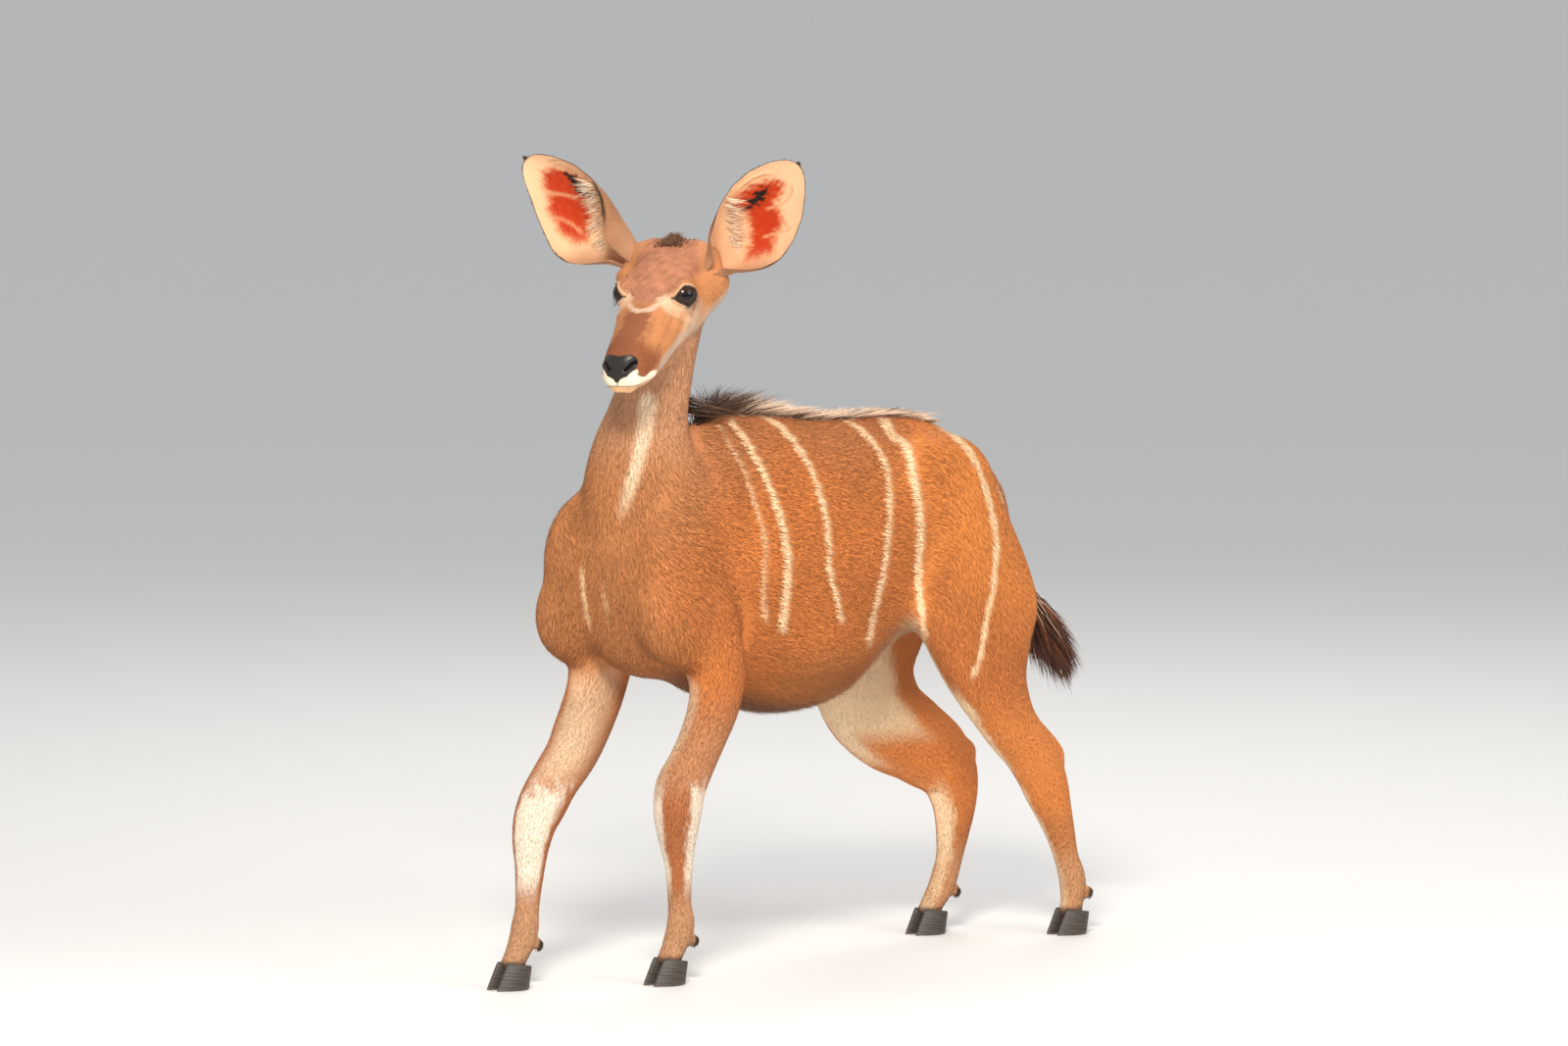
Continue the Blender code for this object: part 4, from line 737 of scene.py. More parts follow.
# The face in the photograph's pixels, seen from the animal's left and laid on both sides
PIXEL = VIEW_WIDTH / PHOTO_WIDE
NOSE_PAD = ((618.0, 364.5), (630.2, 363.6), (636, 362.6), (643, 362.3), (648, 363.5), (651.0, 366.8), (651.2, 371),
            (649.0, 375.6), (645.5, 378.6), (642.5, 381.2), (640, 384.4), (636, 385.6), (632.6, 387.6),
            (631.0, 390.5), (618.0, 390.5))
NOSTRIL = ((638.0, 377.4), (640.5, 375.8), (643.5, 372.6), (646.5, 370.2), (649.5, 369.2))
NOSTRIL_WING = ((636.8, 372.4), (640.5, 370.2), (644.5, 368.3), (648.5, 367.0))
LIP_CLEFT = ((630.0, 385.5), (629.6, 389.0), (629.6, 393.6))
LIP_LINE = ((629.6, 393.8), (633, 394.8), (640, 395.6), (646, 394.8), (652, 393.0), (656, 391.2),
            (664, 386.2), (668, 382.4), (671, 378.5))
WHITE_LIP = ((618.0, 388.5), (629.6, 388.5), (633.5, 386.0), (638, 384.6), (642, 381.5), (646, 378.6), (650.5, 376.9),
             (651.5, 379.6), (650.0, 382.2), (654.5, 384.6), (658.5, 384.2), (664.5, 378.6), (670.5, 377.4),
             (669.5, 382.4), (664, 387.2), (656, 392.0), (646, 395.4), (640, 396.2), (629.6, 394.8), (618.0, 394.8))
FACE_FOLDS = (
    # pixels of a crease, its half width and depth in metres
    (((676, 349.5), (672.5, 353), (670.4, 358), (669.6, 363), (669.2, 368.5)), 0.0016, 0.0016),
    (((650, 351), (654, 356), (657.5, 361.5), (659.8, 368)), 0.0016, 0.0008),
    (((655, 340), (656.5, 346), (656.3, 352)), 0.0022, 0.0007),
    (((661.5, 363), (662.5, 369), (662.4, 376), (660.5, 382)), 0.0013, 0.0009),
    (((689, 315), (682, 322), (676, 330)), 0.0040, 0.0016),
    (((705, 325), (700, 336), (694, 345)), 0.0060, -0.0010),
    (((686, 318), (683, 330), (678, 343), (674, 352)), 0.0030, 0.0010),
    (((668, 322), (664, 334), (659, 346)), 0.0040, 0.0009),
    (((704, 282), (712, 276), (722, 274)), 0.0045, 0.0010),
    (((640, 262), (652, 258), (664, 262)), 0.0060, 0.0006),
)


def groove(far, half, deep):
    """Depth of a soft groove at a distance from its middle."""
    return deep * np.exp(-(far / half) ** 2)


def face_marks(p, n):
    """The points with the right half laid on the left, their pixels and how much the front of the face looks at the
    view.
    """
    q, m = head_fold(p, n)
    front = smooth(head_local(p)[:, 0], 0.18, 0.21)
    facing = smooth(m @ TO_CAMERA, -0.25, 0.05) * front
    xy = photo_xy(q)
    return q, xy, facing


def carve_face(co, n):
    """Presses the nostrils, pad, cleft, lips and creases into the skin."""
    q, xy, facing = face_marks(co, n)
    down = np.zeros(len(co))
    wing, along = near_line(xy, curve(NOSTRIL_WING, 1.0))
    hole, along_hole = near_line(xy, curve(NOSTRIL, 1.0))
    hole *= PIXEL
    down += facing * groove(hole, 0.0023, 0.0070)
    down -= facing * groove(wing * PIXEL, 0.0016, 0.0012)
    pad = inside(xy, NOSE_PAD) * PIXEL
    down -= facing * 0.0007 * smooth(pad, -0.0006, 0.0010)
    down += facing * groove(pad + 0.0006, 0.0008, 0.0004)
    cleft = near_line(xy, curve(LIP_CLEFT, 1.0))[0] * PIXEL
    down += facing * groove(cleft, 0.0010, 0.0022)
    for line, half, deep in FACE_FOLDS:
        far, t = near_line(xy, curve(line, 1.0))
        ends = smooth(t, 0, 0.2) * smooth(1 - t, 0, 0.25)
        side_face = smooth(turned_face(co, n), -0.2, 0.1)
        down += side_face * ends * groove(far * PIXEL, half, deep)
    down += mouth_gap(co)
    return co - n * down[:, None]


def turned_face(p, n):
    """How much a point of either side of the head faces the view, as if on the left."""
    return head_fold(p, n)[1] @ TO_CAMERA


def mouth_far(p):
    """Distance to the parting of the lips, and where along it from the middle out."""
    loc = head_local(p)
    points = np.array([mouth_line(t) for t in np.linspace(0, 1, 25)])
    points[:, 1] += MUZZLE_SHIFT
    side = np.where(loc[:, 1] < MUZZLE_SHIFT, 2 * MUZZLE_SHIFT - loc[:, 1], loc[:, 1])
    # the line is followed by height at each place along the face
    ends = points[:, 0]
    height = np.interp(-loc[:, 0], -ends, points[:, 2])
    return loc[:, 2] - height, loc, side


def mouth_gap(p):
    """The parting of the lips, deepest in front."""
    off, loc, side = mouth_far(p)
    t = smooth(loc[:, 0], MOUTH_CORNER[0] - 0.001, MOUTH_CORNER[0] + 0.010)
    below = smooth(-off, 0.0008, 0.006) * smooth(0.020 + off, 0, 0.012)
    return t * (groove(off, 0.0011, 0.0032) + 0.0010 * below * smooth(loc[:, 0], 0.24, 0.27))


def skin_object():
    obj = make("kudu_skin", *gather(torso_pieces() + leg_pieces() + head_pieces()))
    mod = obj.modifiers.new("net", "REMESH")
    mod.mode = "VOXEL"
    mod.voxel_size = BODY_VOXEL
    bake(obj)
    relax(obj, 6, SOFT_SPOTS + EAR_SPOTS)
    sculpt(obj, STROKES)
    finer(obj, lambda p: np.linalg.norm(p - on_head(0.14, 0, -0.01), axis=1) < 0.19)
    co, _ = read_mesh(obj.data)
    head = smooth(0.20 - np.linalg.norm(flu(co) - on_head(0.14, 0, -0.01), axis=1), 0, 0.02)
    even(obj.data, head, 6)
    left, right = eye_frame(1)[0], eye_frame(-1)[0]

    def fine_places(p):
        muzzle = head_local(p)[:, 0] > 0.205
        eyes = np.minimum(np.linalg.norm(p - left, axis=1), np.linalg.norm(p - right, axis=1)) < 0.042
        return muzzle & (np.linalg.norm(p - on_head(0.25, 0, -0.01), axis=1) < 0.075) | eyes

    finer(obj, fine_places)
    co, _ = read_mesh(obj.data)
    even(obj.data, fine_places(flu(co)) * 1.0, 4)
    co, n = read_mesh(obj.data)
    p = flu(co)
    loc = head_local(p)
    on_face = smooth(loc[:, 0], -0.01, 0.05) * smooth(0.16 - np.linalg.norm(p - on_head(0.14, 0, 0), axis=1), -0.05, 0.0)
    low = smooth(0.50 - p[:, 2], 0.0, 0.10)
    depth = COAT_DEPTH + (LEG_DEPTH - COAT_DEPTH) * low
    depth = depth + (FACE_DEPTH - depth) * on_face
    p = p - turned(n) * depth[:, None]
    write_mesh(obj.data, place(p))
    co, n = read_mesh(obj.data)
    p, n = flu(co), turned(n)
    near_head = np.linalg.norm(p - on_head(0.14, 0, -0.01), axis=1) < 0.25
    p[near_head] = carve_face(p[near_head], n[near_head])
    p[near_head] = shape_lids(p[near_head], n[near_head])
    write_mesh(obj.data, place(p))
    obj.data.polygons.foreach_set("use_smooth", np.ones(len(obj.data.polygons), bool))
    obj.data.update()
    return obj


# Which part of the animal a point belongs to, and the lie of its hair
def axis_rows():
    """The middle lines of trunk, neck, head and legs: points, radii and way of the hair."""
    table = {}
    back = fill([(f, 0, 0.69, w + 0.02) for f, w in
                 ((-0.45, 0.07), (-0.35, 0.14), (-0.20, 0.17), (0.0, 0.19), (0.15, 0.19), (0.27, 0.15))], 0.02)
    table["torso"] = (back[:, :3], back[:, 3], np.tile([-1.0, 0, -0.30], (len(back), 1)))
    neck = fill([(0.33, 0.0, 0.60, 0.13), (0.32, 0.0, 0.72, 0.12), (0.309, 0.005, 0.86, 0.08),
                 (0.300, 0.020, 0.96, 0.062), (0.288, 0.038, 1.06, 0.055), (0.280, 0.046, 1.13, 0.050)], 0.02)
    table["neck"] = (neck[:, :3], neck[:, 3], -np.gradient(neck[:, :3], axis=0))
    line = np.array([on_head(a, 0, -0.012) for a in np.linspace(0.0, 0.28, 16)])
    table["head"] = (line, np.interp(np.linspace(0, 0.28, 16), (0, 0.1, 0.2, 0.28), (0.062, 0.07, 0.052, 0.03)),
                     np.tile(HEAD_ALONG, (len(line), 1)))
    for name, rows in LEGS.items():
        rows = fill([r[:6] for r in rows], 0.02)
        table[name] = (rows[:, :3], rows[:, 3] * 0.4 + (rows[:, 4] + rows[:, 5]) * 0.3,
                       np.gradient(rows[:, :3], axis=0))
    return table


AXES = axis_rows()
PARTS = list(AXES)


def survey(p):
    """For each point its share in every part, the way of the hair and its place on the unwrap."""
    shares = np.zeros((len(p), len(PARTS)))
    way = np.zeros((len(p), 3))
    spot = np.zeros((len(p), len(PARTS), 2))
    for k, name in enumerate(PARTS):
        line, radius, lie = AXES[name]
        lie = lie / np.linalg.norm(lie, axis=1)[:, None]
        best = np.full(len(p), 1e9)
        pick = np.zeros(len(p), int)
        for i in range(len(line)):
            far = np.linalg.norm(p - line[i], axis=1) / radius[i]
            closer = far < best
            best[closer] = far[closer]
            pick[closer] = i
        shares[:, k] = np.exp(-7.0 * best)
        d = p - line[pick]
        if name == "torso":
            turn = np.arctan2(d[:, 1], d[:, 2])
        elif name == "head":
            turn = np.arctan2(d @ HEAD_SIDE, d @ HEAD_RISE)
        else:
            turn = np.arctan2(d[:, 1], d[:, 0])
        spot[:, k, 0] = turn / tau + 0.5
        near = np.einsum("ij,ij->i", d, lie[pick])
        length = np.concatenate([[0], np.cumsum(np.linalg.norm(np.diff(line, axis=0), axis=1))])
        spot[:, k, 1] = np.clip((length[pick] + near) / length[-1], 0, 1)
        way += shares[:, k:k + 1] * lie[pick]
    total = shares.sum(axis=1)[:, None]
    return shares / total, way / total, spot


# Where each part lies on the unwrap: left, bottom, width and height
UNWRAP = {"torso": (0.01, 0.01, 0.98, 0.36), "neck": (0.01, 0.39, 0.48, 0.27), "head": (0.51, 0.39, 0.48, 0.27),
          "foreleg_left": (0.01, 0.68, 0.235, 0.31), "foreleg_right": (0.255, 0.68, 0.235, 0.31),
          "hindleg_left": (0.50, 0.68, 0.235, 0.31), "hindleg_right": (0.745, 0.68, 0.235, 0.31)}
PATCH = 0.003


def unwrap(shares, spot):
    part = shares.argmax(axis=1)
    rows = np.array([UNWRAP[name] for name in PARTS])[part]
    at = spot[np.arange(len(part)), part]
    return rows[:, :2] + at * rows[:, 2:]


def hair_way(p, n, way, shares):
    """The lie of the coat along the surface, mended where it differs from the axis of the part."""
    way = way.copy()
    loc = head_local(p)
    head = shares[:, PARTS.index("head")]
    # cheeks: down and back
    back = smooth(0.12 - loc[:, 0], 0.0, 0.10) * head
    way += (back * 0.9)[:, None] * (-0.55 * HEAD_ALONG - 0.5 * HEAD_RISE) * abs(loc[:, 1:2]) / 0.06
    rump = smooth(-p[:, 0], 0.28, 0.44) * shares[:, PARTS.index("torso")]
    way += rump[:, None] * np.array([-0.1, 0, -1.3])
    side = np.sign(p[:, 1]) * smooth(abs(p[:, 1]), 0.0, 0.05)
    crest = smooth(p[:, 2], 0.84, 0.90) * shares[:, PARTS.index("torso")]
    way[:, 1] += 0.5 * crest * side
    way -= n * np.einsum("ij,ij->i", way, n)[:, None]
    return way / np.maximum(np.linalg.norm(way, axis=1), 1e-9)[:, None]


# Colours of the coat, linear
TAWNY = (0.52, 0.165, 0.040)
FLANK = (0.55, 0.170, 0.038)
RUMP = (0.68, 0.232, 0.054)
BACK = (0.46, 0.166, 0.058)
NECK = (0.53, 0.265, 0.140)
CHEST = (0.44, 0.170, 0.060)
BELLY = (0.48, 0.170, 0.048)
THROAT = (0.86, 0.64, 0.44)
STRIPE = (0.90, 0.61, 0.36)
CREAM = (0.90, 0.66, 0.42)
WHITE = (0.84, 0.72, 0.58)
FOREHEAD = (0.38, 0.155, 0.085)
BRIDGE = (0.225, 0.076, 0.033)
CHEEK = (0.44, 0.178, 0.066)
JAW = (0.60, 0.46, 0.36)
MUZZLE = (0.165, 0.042, 0.013)
LIP_WHITE = (0.76, 0.65, 0.50)
CHIN = (0.78, 0.49, 0.25)
NOSE = (0.022, 0.019, 0.018)
DARK = (0.025, 0.014, 0.008)
BELLY_DARK_AND_SHADE = (0.12, 0.050, 0.024)
LEG_RED = (0.40, 0.115, 0.030)
HOCK = (0.70, 0.235, 0.058)
FOREARM = (0.44, 0.205, 0.105)
FOREARM_PALE = (0.74, 0.54, 0.36)
SHANK_LOW = (0.50, 0.29, 0.16)
UNDER_CHIN_SHADE = (0.36, 0.25, 0.19)

# middle lines of the stripes in the photograph's pixels, with their half width in pixels at the ends
STRIPES = (
    (((733, 435), (759, 482), (768, 510), (779, 552), (778, 606), (781, 640)), 1.6, 3.0, 0.55),
    (((745, 430), (767, 461), (786, 501), (797, 534), (803, 569), (801, 606), (796, 650)), 2.6, 4.2, 1.0),
    (((764, 418), (796, 436), (822, 471), (837, 508), (844, 547), (846, 584), (853, 610), (859, 640)), 3.2, 2.4, 1.0),
    (((812, 414), (850, 422), (872, 435), (892, 454), (904, 480), (907, 508), (906, 539), (901, 584),
      (893, 617), (887, 649), (885, 665)), 2.6, 3.0, 0.9),
    (((893, 412), (909, 443), (924, 456), (931, 487), (937, 521), (938, 552), (936, 584), (940, 623),
      (943, 656)), 4.6, 3.2, 1.0),
    (((955, 432), (983, 454), (1000, 482), (1011, 521), (1016, 552), (1014, 589), (1007, 628), (1000, 667),
      (989, 697)), 3.2, 2.6, 0.95),
)
THROAT_LINE = ((661, 408), (659, 430), (653, 460), (643, 495), (632, 530), (622, 560))
# regions of the trunk: place, reach and colour
REGIONS = (
    ((0.10, 0.10, 0.66), 0.20, FLANK), ((-0.12, 0.12, 0.70), 0.20, FLANK), ((-0.33, 0.10, 0.72), 0.17, RUMP),
    ((-0.40, 0.05, 0.60), 0.14, RUMP), ((0.18, 0.02, 0.88), 0.12, BACK), ((-0.10, 0.02, 0.88), 0.14, BACK),
    ((-0.35, 0.02, 0.84), 0.10, RUMP), ((0.32, 0.03, 0.95), 0.14, NECK), ((0.30, 0.04, 1.10), 0.14, NECK),
    ((0.36, 0.05, 0.78), 0.12, CHEST), ((0.38, 0.05, 0.60), 0.12, CHEST), ((0.28, 0.11, 0.62), 0.12, TAWNY),
    ((0.0, 0.03, 0.44), 0.10, BELLY), ((-0.20, 0.03, 0.52), 0.10, BELLY), ((0.25, 0.0, 0.44), 0.10, BELLY),
    ((-0.33, 0.13, 0.50), 0.12, TAWNY), ((0.25, 0.12, 0.42), 0.12, TAWNY),
)


def lay(base, colour, share):
    """A colour laid over the base by its share at each point."""
    share = np.clip(share, 0, 1)[:, None]
    return base * (1 - share) + np.asarray(colour) * share


def ragged(p, size, depth, seed):
    """A smooth unevenness of a few waves, for the edges of marks."""
    rng = np.random.default_rng(seed)
    out = np.zeros(len(p))
    for _ in range(5):
        way = rng.normal(size=3)
        out += np.sin(p @ (way / np.linalg.norm(way)) * tau / (size * (0.5 + rng.random())) + tau * rng.random())
    return depth * out / 2.2


def paint_trunk(p, n):
    q, m = body_fold(p, n)
    total = np.zeros(len(p))
    colour = np.zeros((len(p), 3))
    for place_at, reach, tint in REGIONS:
        w = np.exp(-2.2 * (np.linalg.norm(q - place_at, axis=1) / reach) ** 2) + 1e-9
        total += w
        colour += w[:, None] * np.array(tint)
    colour /= total[:, None]
    colour *= (1 + ragged(p, 0.10, 0.05, 3) + ragged(p, 0.02, 0.03, 4))[:, None]
    xy = photo_xy(q)
    wave = ragged(p, 0.016, 0.8, 5) + ragged(p, 0.006, 0.5, 6)
    seen = smooth(m @ TO_CAMERA, -0.30, -0.05) * smooth(q[:, 1], 0.008, 0.022)
    for line, start, end, power in STRIPES:
        far, t = near_line(xy, curve(line, 6.0))
        half = (start + (end - start) * t) * 1.05
        edge = smooth(half + wave - far, -0.9, 1.3) * smooth(1 - t, 0.0, 0.05)
        colour = lay(colour, STRIPE, seen * power * edge)
    return colour, q


def paint(p, n, shares):
    """The markings of skin and coat at any points of the body."""
    colour, q = paint_trunk(p, n)
    loc = head_local(p)
    share = {name: shares[:, k] for k, name in enumerate(PARTS)}
    f, l, u = p.T
    rough = ragged(p, 0.015, 0.004, 8)
    # pale line down the throat
    seen = photo_xy(p)
    far, t = near_line(seen, curve(THROAT_LINE, 4.0))
    front = smooth(n @ TO_CAMERA, 0.25, 0.70) * smooth(u, 0.74, 0.80)
    throat = front * smooth(8.5 - 5.0 * t + rough * 150 - far, -5.0, 4.5)
    colour = lay(colour, THROAT, throat * (share["neck"] + share["torso"]) * (0.95 - 0.35 * t))
    # two pale lines on the chest: pale hair on the right, and a painted highlight on the left pectoral muscle
    on_chest = smooth(n[:, 0], 0.2, 0.7) * smooth(f, 0.30, 0.36)
    for s, high, low, power in ((0.020, 0.66, 0.58, 0.35), (-0.028, 0.69, 0.56, 0.85)):
        stroke = on_chest * smooth(0.0045 + rough * 0.6 - abs(l - s), -0.004, 0.004)
        colour = lay(colour, STRIPE, power * stroke * smooth(u, low, low + 0.04) * smooth(high - u, 0, 0.04))
    # white line along the spine
    ridge = smooth(0.010 + rough - abs(l), -0.004, 0.004) * smooth(u, 0.80, 0.86) * smooth(0.16 - f, 0, 0.04)
    colour = lay(colour, (0.72, 0.52, 0.38), ridge * smooth(f, -0.30, -0.24) * 0.9)
    # dark hair and painted shade along the underside of the belly and between the forelegs
    under = smooth(-n[:, 2], 0.35, 0.85) * share["torso"]
    colour = lay(colour, BELLY_DARK_AND_SHADE, under * smooth(0.045 - abs(l), -0.02, 0.02) * smooth(f, -0.20, 0.05) * 0.75)
    colour = lay(colour, CREAM, under * smooth(-0.15 - f, -0.05, 0.05) * 0.8)
    legs = paint_legs(p, n, colour, share)
    return paint_head(p, n, loc, legs, share["head"], rough)


def paint_legs(p, n, colour, share):
    """Garters below the knee, pale inner sides and dark pasterns, the same on left and right."""
    u = p[:, 2]
    for name in LEGS:
        w = share[name]
        if not (w > 0.02).any():
            continue
        m = n.copy()
        m[:, 1] *= 1 if name.endswith("left") else -1
        across = m @ RIGHT
        inner = smooth(-across, 0.30, 0.85)
        rough = ragged(p, 0.03, 0.05, 31) + ragged(p, 0.007, 0.03, 32)
        leg = colour * 1.0
        if name.startswith("fore"):
            leg = lay(leg, FOREARM, 0.75 * smooth(0.50 - u, 0, 0.12))
            leg = lay(leg, LEG_RED, 0.70 * smooth(0.34 - u, 0, 0.06) * smooth(u, 0.10, 0.16))
            leg = lay(leg, FOREARM_PALE, inner * smooth(0.56 - u, 0, 0.10) * smooth(u, 0.30, 0.36) * 0.70)
            band = smooth(0.340 + 0.15 * rough - u, 0, 0.04) * smooth(u, 0.12, 0.19)
            leg = lay(leg, WHITE, band * smooth(abs(across) + rough, 0.40, 0.72) * 0.95)
        else:
            ahead = m @ np.array([0.9, -0.4, 0]) + rough
            rows = np.array(LEGS[name])[::-1]
            within = p[:, 0] - np.interp(u, rows[:, 2], rows[:, 0])
            leg = lay(leg, HOCK, 0.8 * smooth(0.45 - u, 0, 0.10) * smooth(u, 0.16, 0.24))
            thigh = smooth(-m[:, 1], 0.05, 0.45) * smooth(within + 0.018 + 0.1 * rough, -0.022, 0.018)
            leg = lay(leg, CREAM, thigh * smooth(0.66 - u, 0, 0.08) * smooth(u, 0.315, 0.365) * 0.95)
            shank = smooth(ahead, 0.36, 0.66) * smooth(m[:, 1], -0.90, -0.70)
            leg = lay(leg, CREAM, shank * smooth(0.45 - u, 0, 0.04) * smooth(u, 0.27, 0.31) * 0.95)
            leg = lay(leg, CREAM, smooth(ahead, 0.55, 0.85) * smooth(0.29 - u, 0, 0.05) * 0.85)
        leg = lay(leg, SHANK_LOW, 0.55 * smooth(0.17 - u, 0, 0.06))
        leg = lay(leg, (0.22, 0.13, 0.085), 0.6 * smooth(0.080 - u, 0, 0.03) * smooth(-n[:, 0], 0.0, 0.6))
        leg = lay(leg, (0.07, 0.045, 0.032), smooth(0.050 - u, 0, 0.010) * 0.85)
        claw_f, claw_l, claw_u = np.array(LEGS[name][-3][:3]) - (0.027, 0, 0.008)
        for side in (1, -1):
            far = np.linalg.norm(p - (claw_f - 0.005, claw_l + side * 0.012, claw_u), axis=1)
            leg = lay(leg, (0.045, 0.032, 0.025), smooth(0.0125 - far, 0, 0.003))
        colour = colour * (1 - w[:, None]) + leg * w[:, None]
    return colour


BROW_EDGE = ((620.5, 292), (624, 300), (632, 307), (643, 311), (655, 312), (668, 309), (680, 302), (688, 295),
             (697, 286), (706, 282), (714, 281), (716, 268), (712, 256), (704, 248), (690, 242), (672, 238),
             (650, 240), (640, 246), (630, 256), (624, 270), (621, 282))
CHEVRON = ((688, 306), (681, 306), (672, 311), (662, 315), (652, 317))
CHEEK_LINE = ((708, 320), (700, 340), (692, 362), (685, 382))


# darker lines of the face, painted shade along its creases and folds: pixels, half width and strength
FACE_SHADES = (
    (((686, 316), (684, 328), (679, 342), (674, 353)), 1.6, 0.45), (((694, 318), (694, 332), (688, 350)), 1.2, 0.28),
    (((668, 322), (664, 336), (659, 350)), 2.6, 0.40), (((704, 283), (713, 277), (724, 275)), 1.6, 0.35),
    (((690, 290), (697, 283), (706, 279)), 1.0, 0.40), (((700, 322), (704, 334), (700, 350), (692, 368)), 1.4, 0.30),
    (((676, 351), (673, 361), (672, 371), (667, 381)), 1.5, 0.50), (((650, 352), (655, 358), (659, 368)), 1.2, 0.35),
    (((640, 318), (637, 332), (632, 345)), 2.4, 0.30), (((630, 258), (640, 250), (652, 247)), 2.4, 0.25),
)


def paint_head(p, n, loc, colour, share, rough):
    if not (share > 0.02).any():
        return colour
    q, m = head_fold(p, n)
    xy = photo_xy(q)
    a, s, h = loc.T
    s = abs(s - head_shift(a))
    facing = smooth(m @ TO_CAMERA, -0.35, 0.0)
    head = np.tile(CHEEK, (len(p), 1)).astype(float)
    head = lay(head, NECK, smooth(0.05 - a, 0, 0.06) * 0.7)
    # pale under the jaw and along its edge, with painted shade where the underside faces down
    under = smooth(-(n @ HEAD_RISE), -0.1, 0.5)
    head = lay(head, JAW, under * 0.9)
    head = lay(head, UNDER_CHIN_SHADE, smooth(-(n @ HEAD_RISE), 0.5, 0.9) * smooth(a, 0.02, 0.10) * 0.8)
    # forehead and bridge of the nose
    top = smooth(n @ HEAD_RISE, 0.25, 0.60)
    brow = smooth(inside(xy, BROW_EDGE) + rough * 200, -2.5, 2.5) * facing * smooth(0.152 - a, 0, 0.012)
    bridge_half = np.interp(a, (0.12, 0.17, 0.22, 0.27), (0.020, 0.022, 0.026, 0.034))
    bridge = smooth(bridge_half + rough - s, -0.006, 0.008) * smooth(a, 0.14, 0.165) * smooth(n @ HEAD_RISE, 0.0, 0.45)
    head = lay(head, BRIDGE, bridge)
    head = lay(head, np.array(FOREHEAD) * (1 + ragged(p, 0.022, 0.10, 41) + ragged(p, 0.008, 0.07, 42))[:, None], np.maximum(brow, top * smooth(0.075 - a, 0, 0.03) * smooth(0.050 - s, 0, 0.012)))
    head = lay(head, (0.30, 0.12, 0.075), brow * smooth(a, 0.105, 0.150) * 0.6)
    # white chevron between the eyes and the ring round each
    far = near_line(xy, curve(CHEVRON, 2.0))[0]
    head = lay(head, (0.58, 0.40, 0.29), facing * smooth(2.3 + rough * 250 - far, -1.8, 1.8) * 0.85)
    for side in (1, -1):
        lid, x, y, ball_far = lid_edge(p, side)
        near = smooth(0.030 - abs(ball_far - EYE_RADIUS), 0, 0.012)
        ring = near * smooth(0.0085 - lid, 0, 0.0035) * smooth(y + 0.004 * (x < 0), -0.016, -0.002)
        ring = np.maximum(ring, near * smooth(0.0060 - lid, 0, 0.003))
        head = lay(head, (0.62, 0.40, 0.26), ring * 0.80)
        head = lay(head, DARK, near * smooth(0.0022 - lid, 0, 0.0012))
        corner = np.hypot(x - (LID_WIDE + EYE_CORNER + 0.002), y + 0.001)
        head = lay(head, DARK, near * smooth(0.0030 - corner, 0, 0.0020))
    # painted shade along the creases of the cheek and brow
    for line, half, power in FACE_SHADES:
        far, t = near_line(xy, curve(line, 2.0))
        shade = facing * smooth(half - far, -2.0, 2.0) * smooth(t, 0, 0.2) * smooth(1 - t, 0, 0.3)
        head = lay(head, (0.24, 0.095, 0.048), shade * power)
    # cheek line, red brown side of the muzzle, white lip, chin and nose pad
    far = near_line(xy, curve(CHEEK_LINE, 3.0))[0]
    head = lay(head, (0.74, 0.50, 0.32), facing * smooth(5.0 - far, -3, 3) * 0.55)
    side_muzzle = smooth(a, 0.205, 0.235) * smooth(h, -0.016, -0.006) * (1 - bridge * 0.5)
    head = lay(head, MUZZLE, side_muzzle * 0.85)
    off, _, _ = mouth_far(p)
    chin = smooth(-off, 0.0, 0.002) * smooth(a, 0.235, 0.262)
    head = lay(head, CHIN, chin * 0.95)
    front = smooth(a, 0.20, 0.215) * facing
    lip = smooth(inside(xy, WHITE_LIP), -0.9, 0.9) * front * smooth(off, -0.0012, 0.0)
    head = lay(head, LIP_WHITE, lip)
    # painted shade in the parting of the lips
    head = lay(head, (0.20, 0.10, 0.05), smooth(0.0013 - abs(off), 0, 0.0008) * smooth(a, 0.215, 0.235) * 0.85)
    pad = smooth(inside(xy, NOSE_PAD), -0.5, 0.6) * front
    cleft = near_line(xy, curve(LIP_CLEFT, 1.0))[0]
    pad = np.maximum(pad, front * smooth(0.9 - cleft, -0.3, 0.4))
    head = lay(head, NOSE, pad)
    # painted shade in the nostrils
    hole = near_line(xy, curve(NOSTRIL, 1.0))[0]
    head = lay(head, (0.006, 0.004, 0.004), front * smooth(1.6 - hole, -0.5, 0.9))
    # painted shade in the creases of the muzzle, darker where they are deeper
    for line, half, deep in FACE_FOLDS[:4]:
        far, t = near_line(xy, curve(line, 1.0))
        dark = smooth(half / PIXEL * 1.1 - far, -0.3, 0.9) * smooth(t, 0, 0.2) * smooth(1 - t, 0, 0.3)
        head = lay(head, (0.20, 0.07, 0.03), dark * facing * (0.75 if deep > 0.001 else 0.35))
    return colour * (1 - share[:, None]) + head * share[:, None]


def wetness(p, n):
    """One on the nose pad and the edges of the lids, nought on hair."""
    q, m = head_fold(p, n)
    xy = photo_xy(q)
    a = head_local(p)[:, 0]
    front = smooth(a, 0.20, 0.215) * smooth(m @ TO_CAMERA, -0.35, 0.0)
    wet = smooth(inside(xy, NOSE_PAD), -0.4, 0.6) * front
    for side in (1, -1):
        lid, x, y, far = lid_edge(p, side)
        wet = np.maximum(wet, smooth(0.0016 - lid, 0, 0.0006) * (abs(far - EYE_RADIUS) < 0.02))
    return wet


# Materials
def principled(name, roughness, specular=0.35):
    mat = bpy.data.materials.new(name)
    mat.use_nodes = True
    shader = mat.node_tree.nodes["Principled BSDF"]
    shader.inputs["Roughness"].default_value = roughness
    shader.inputs["Specular IOR Level"].default_value = specular
    return mat, mat.node_tree, shader


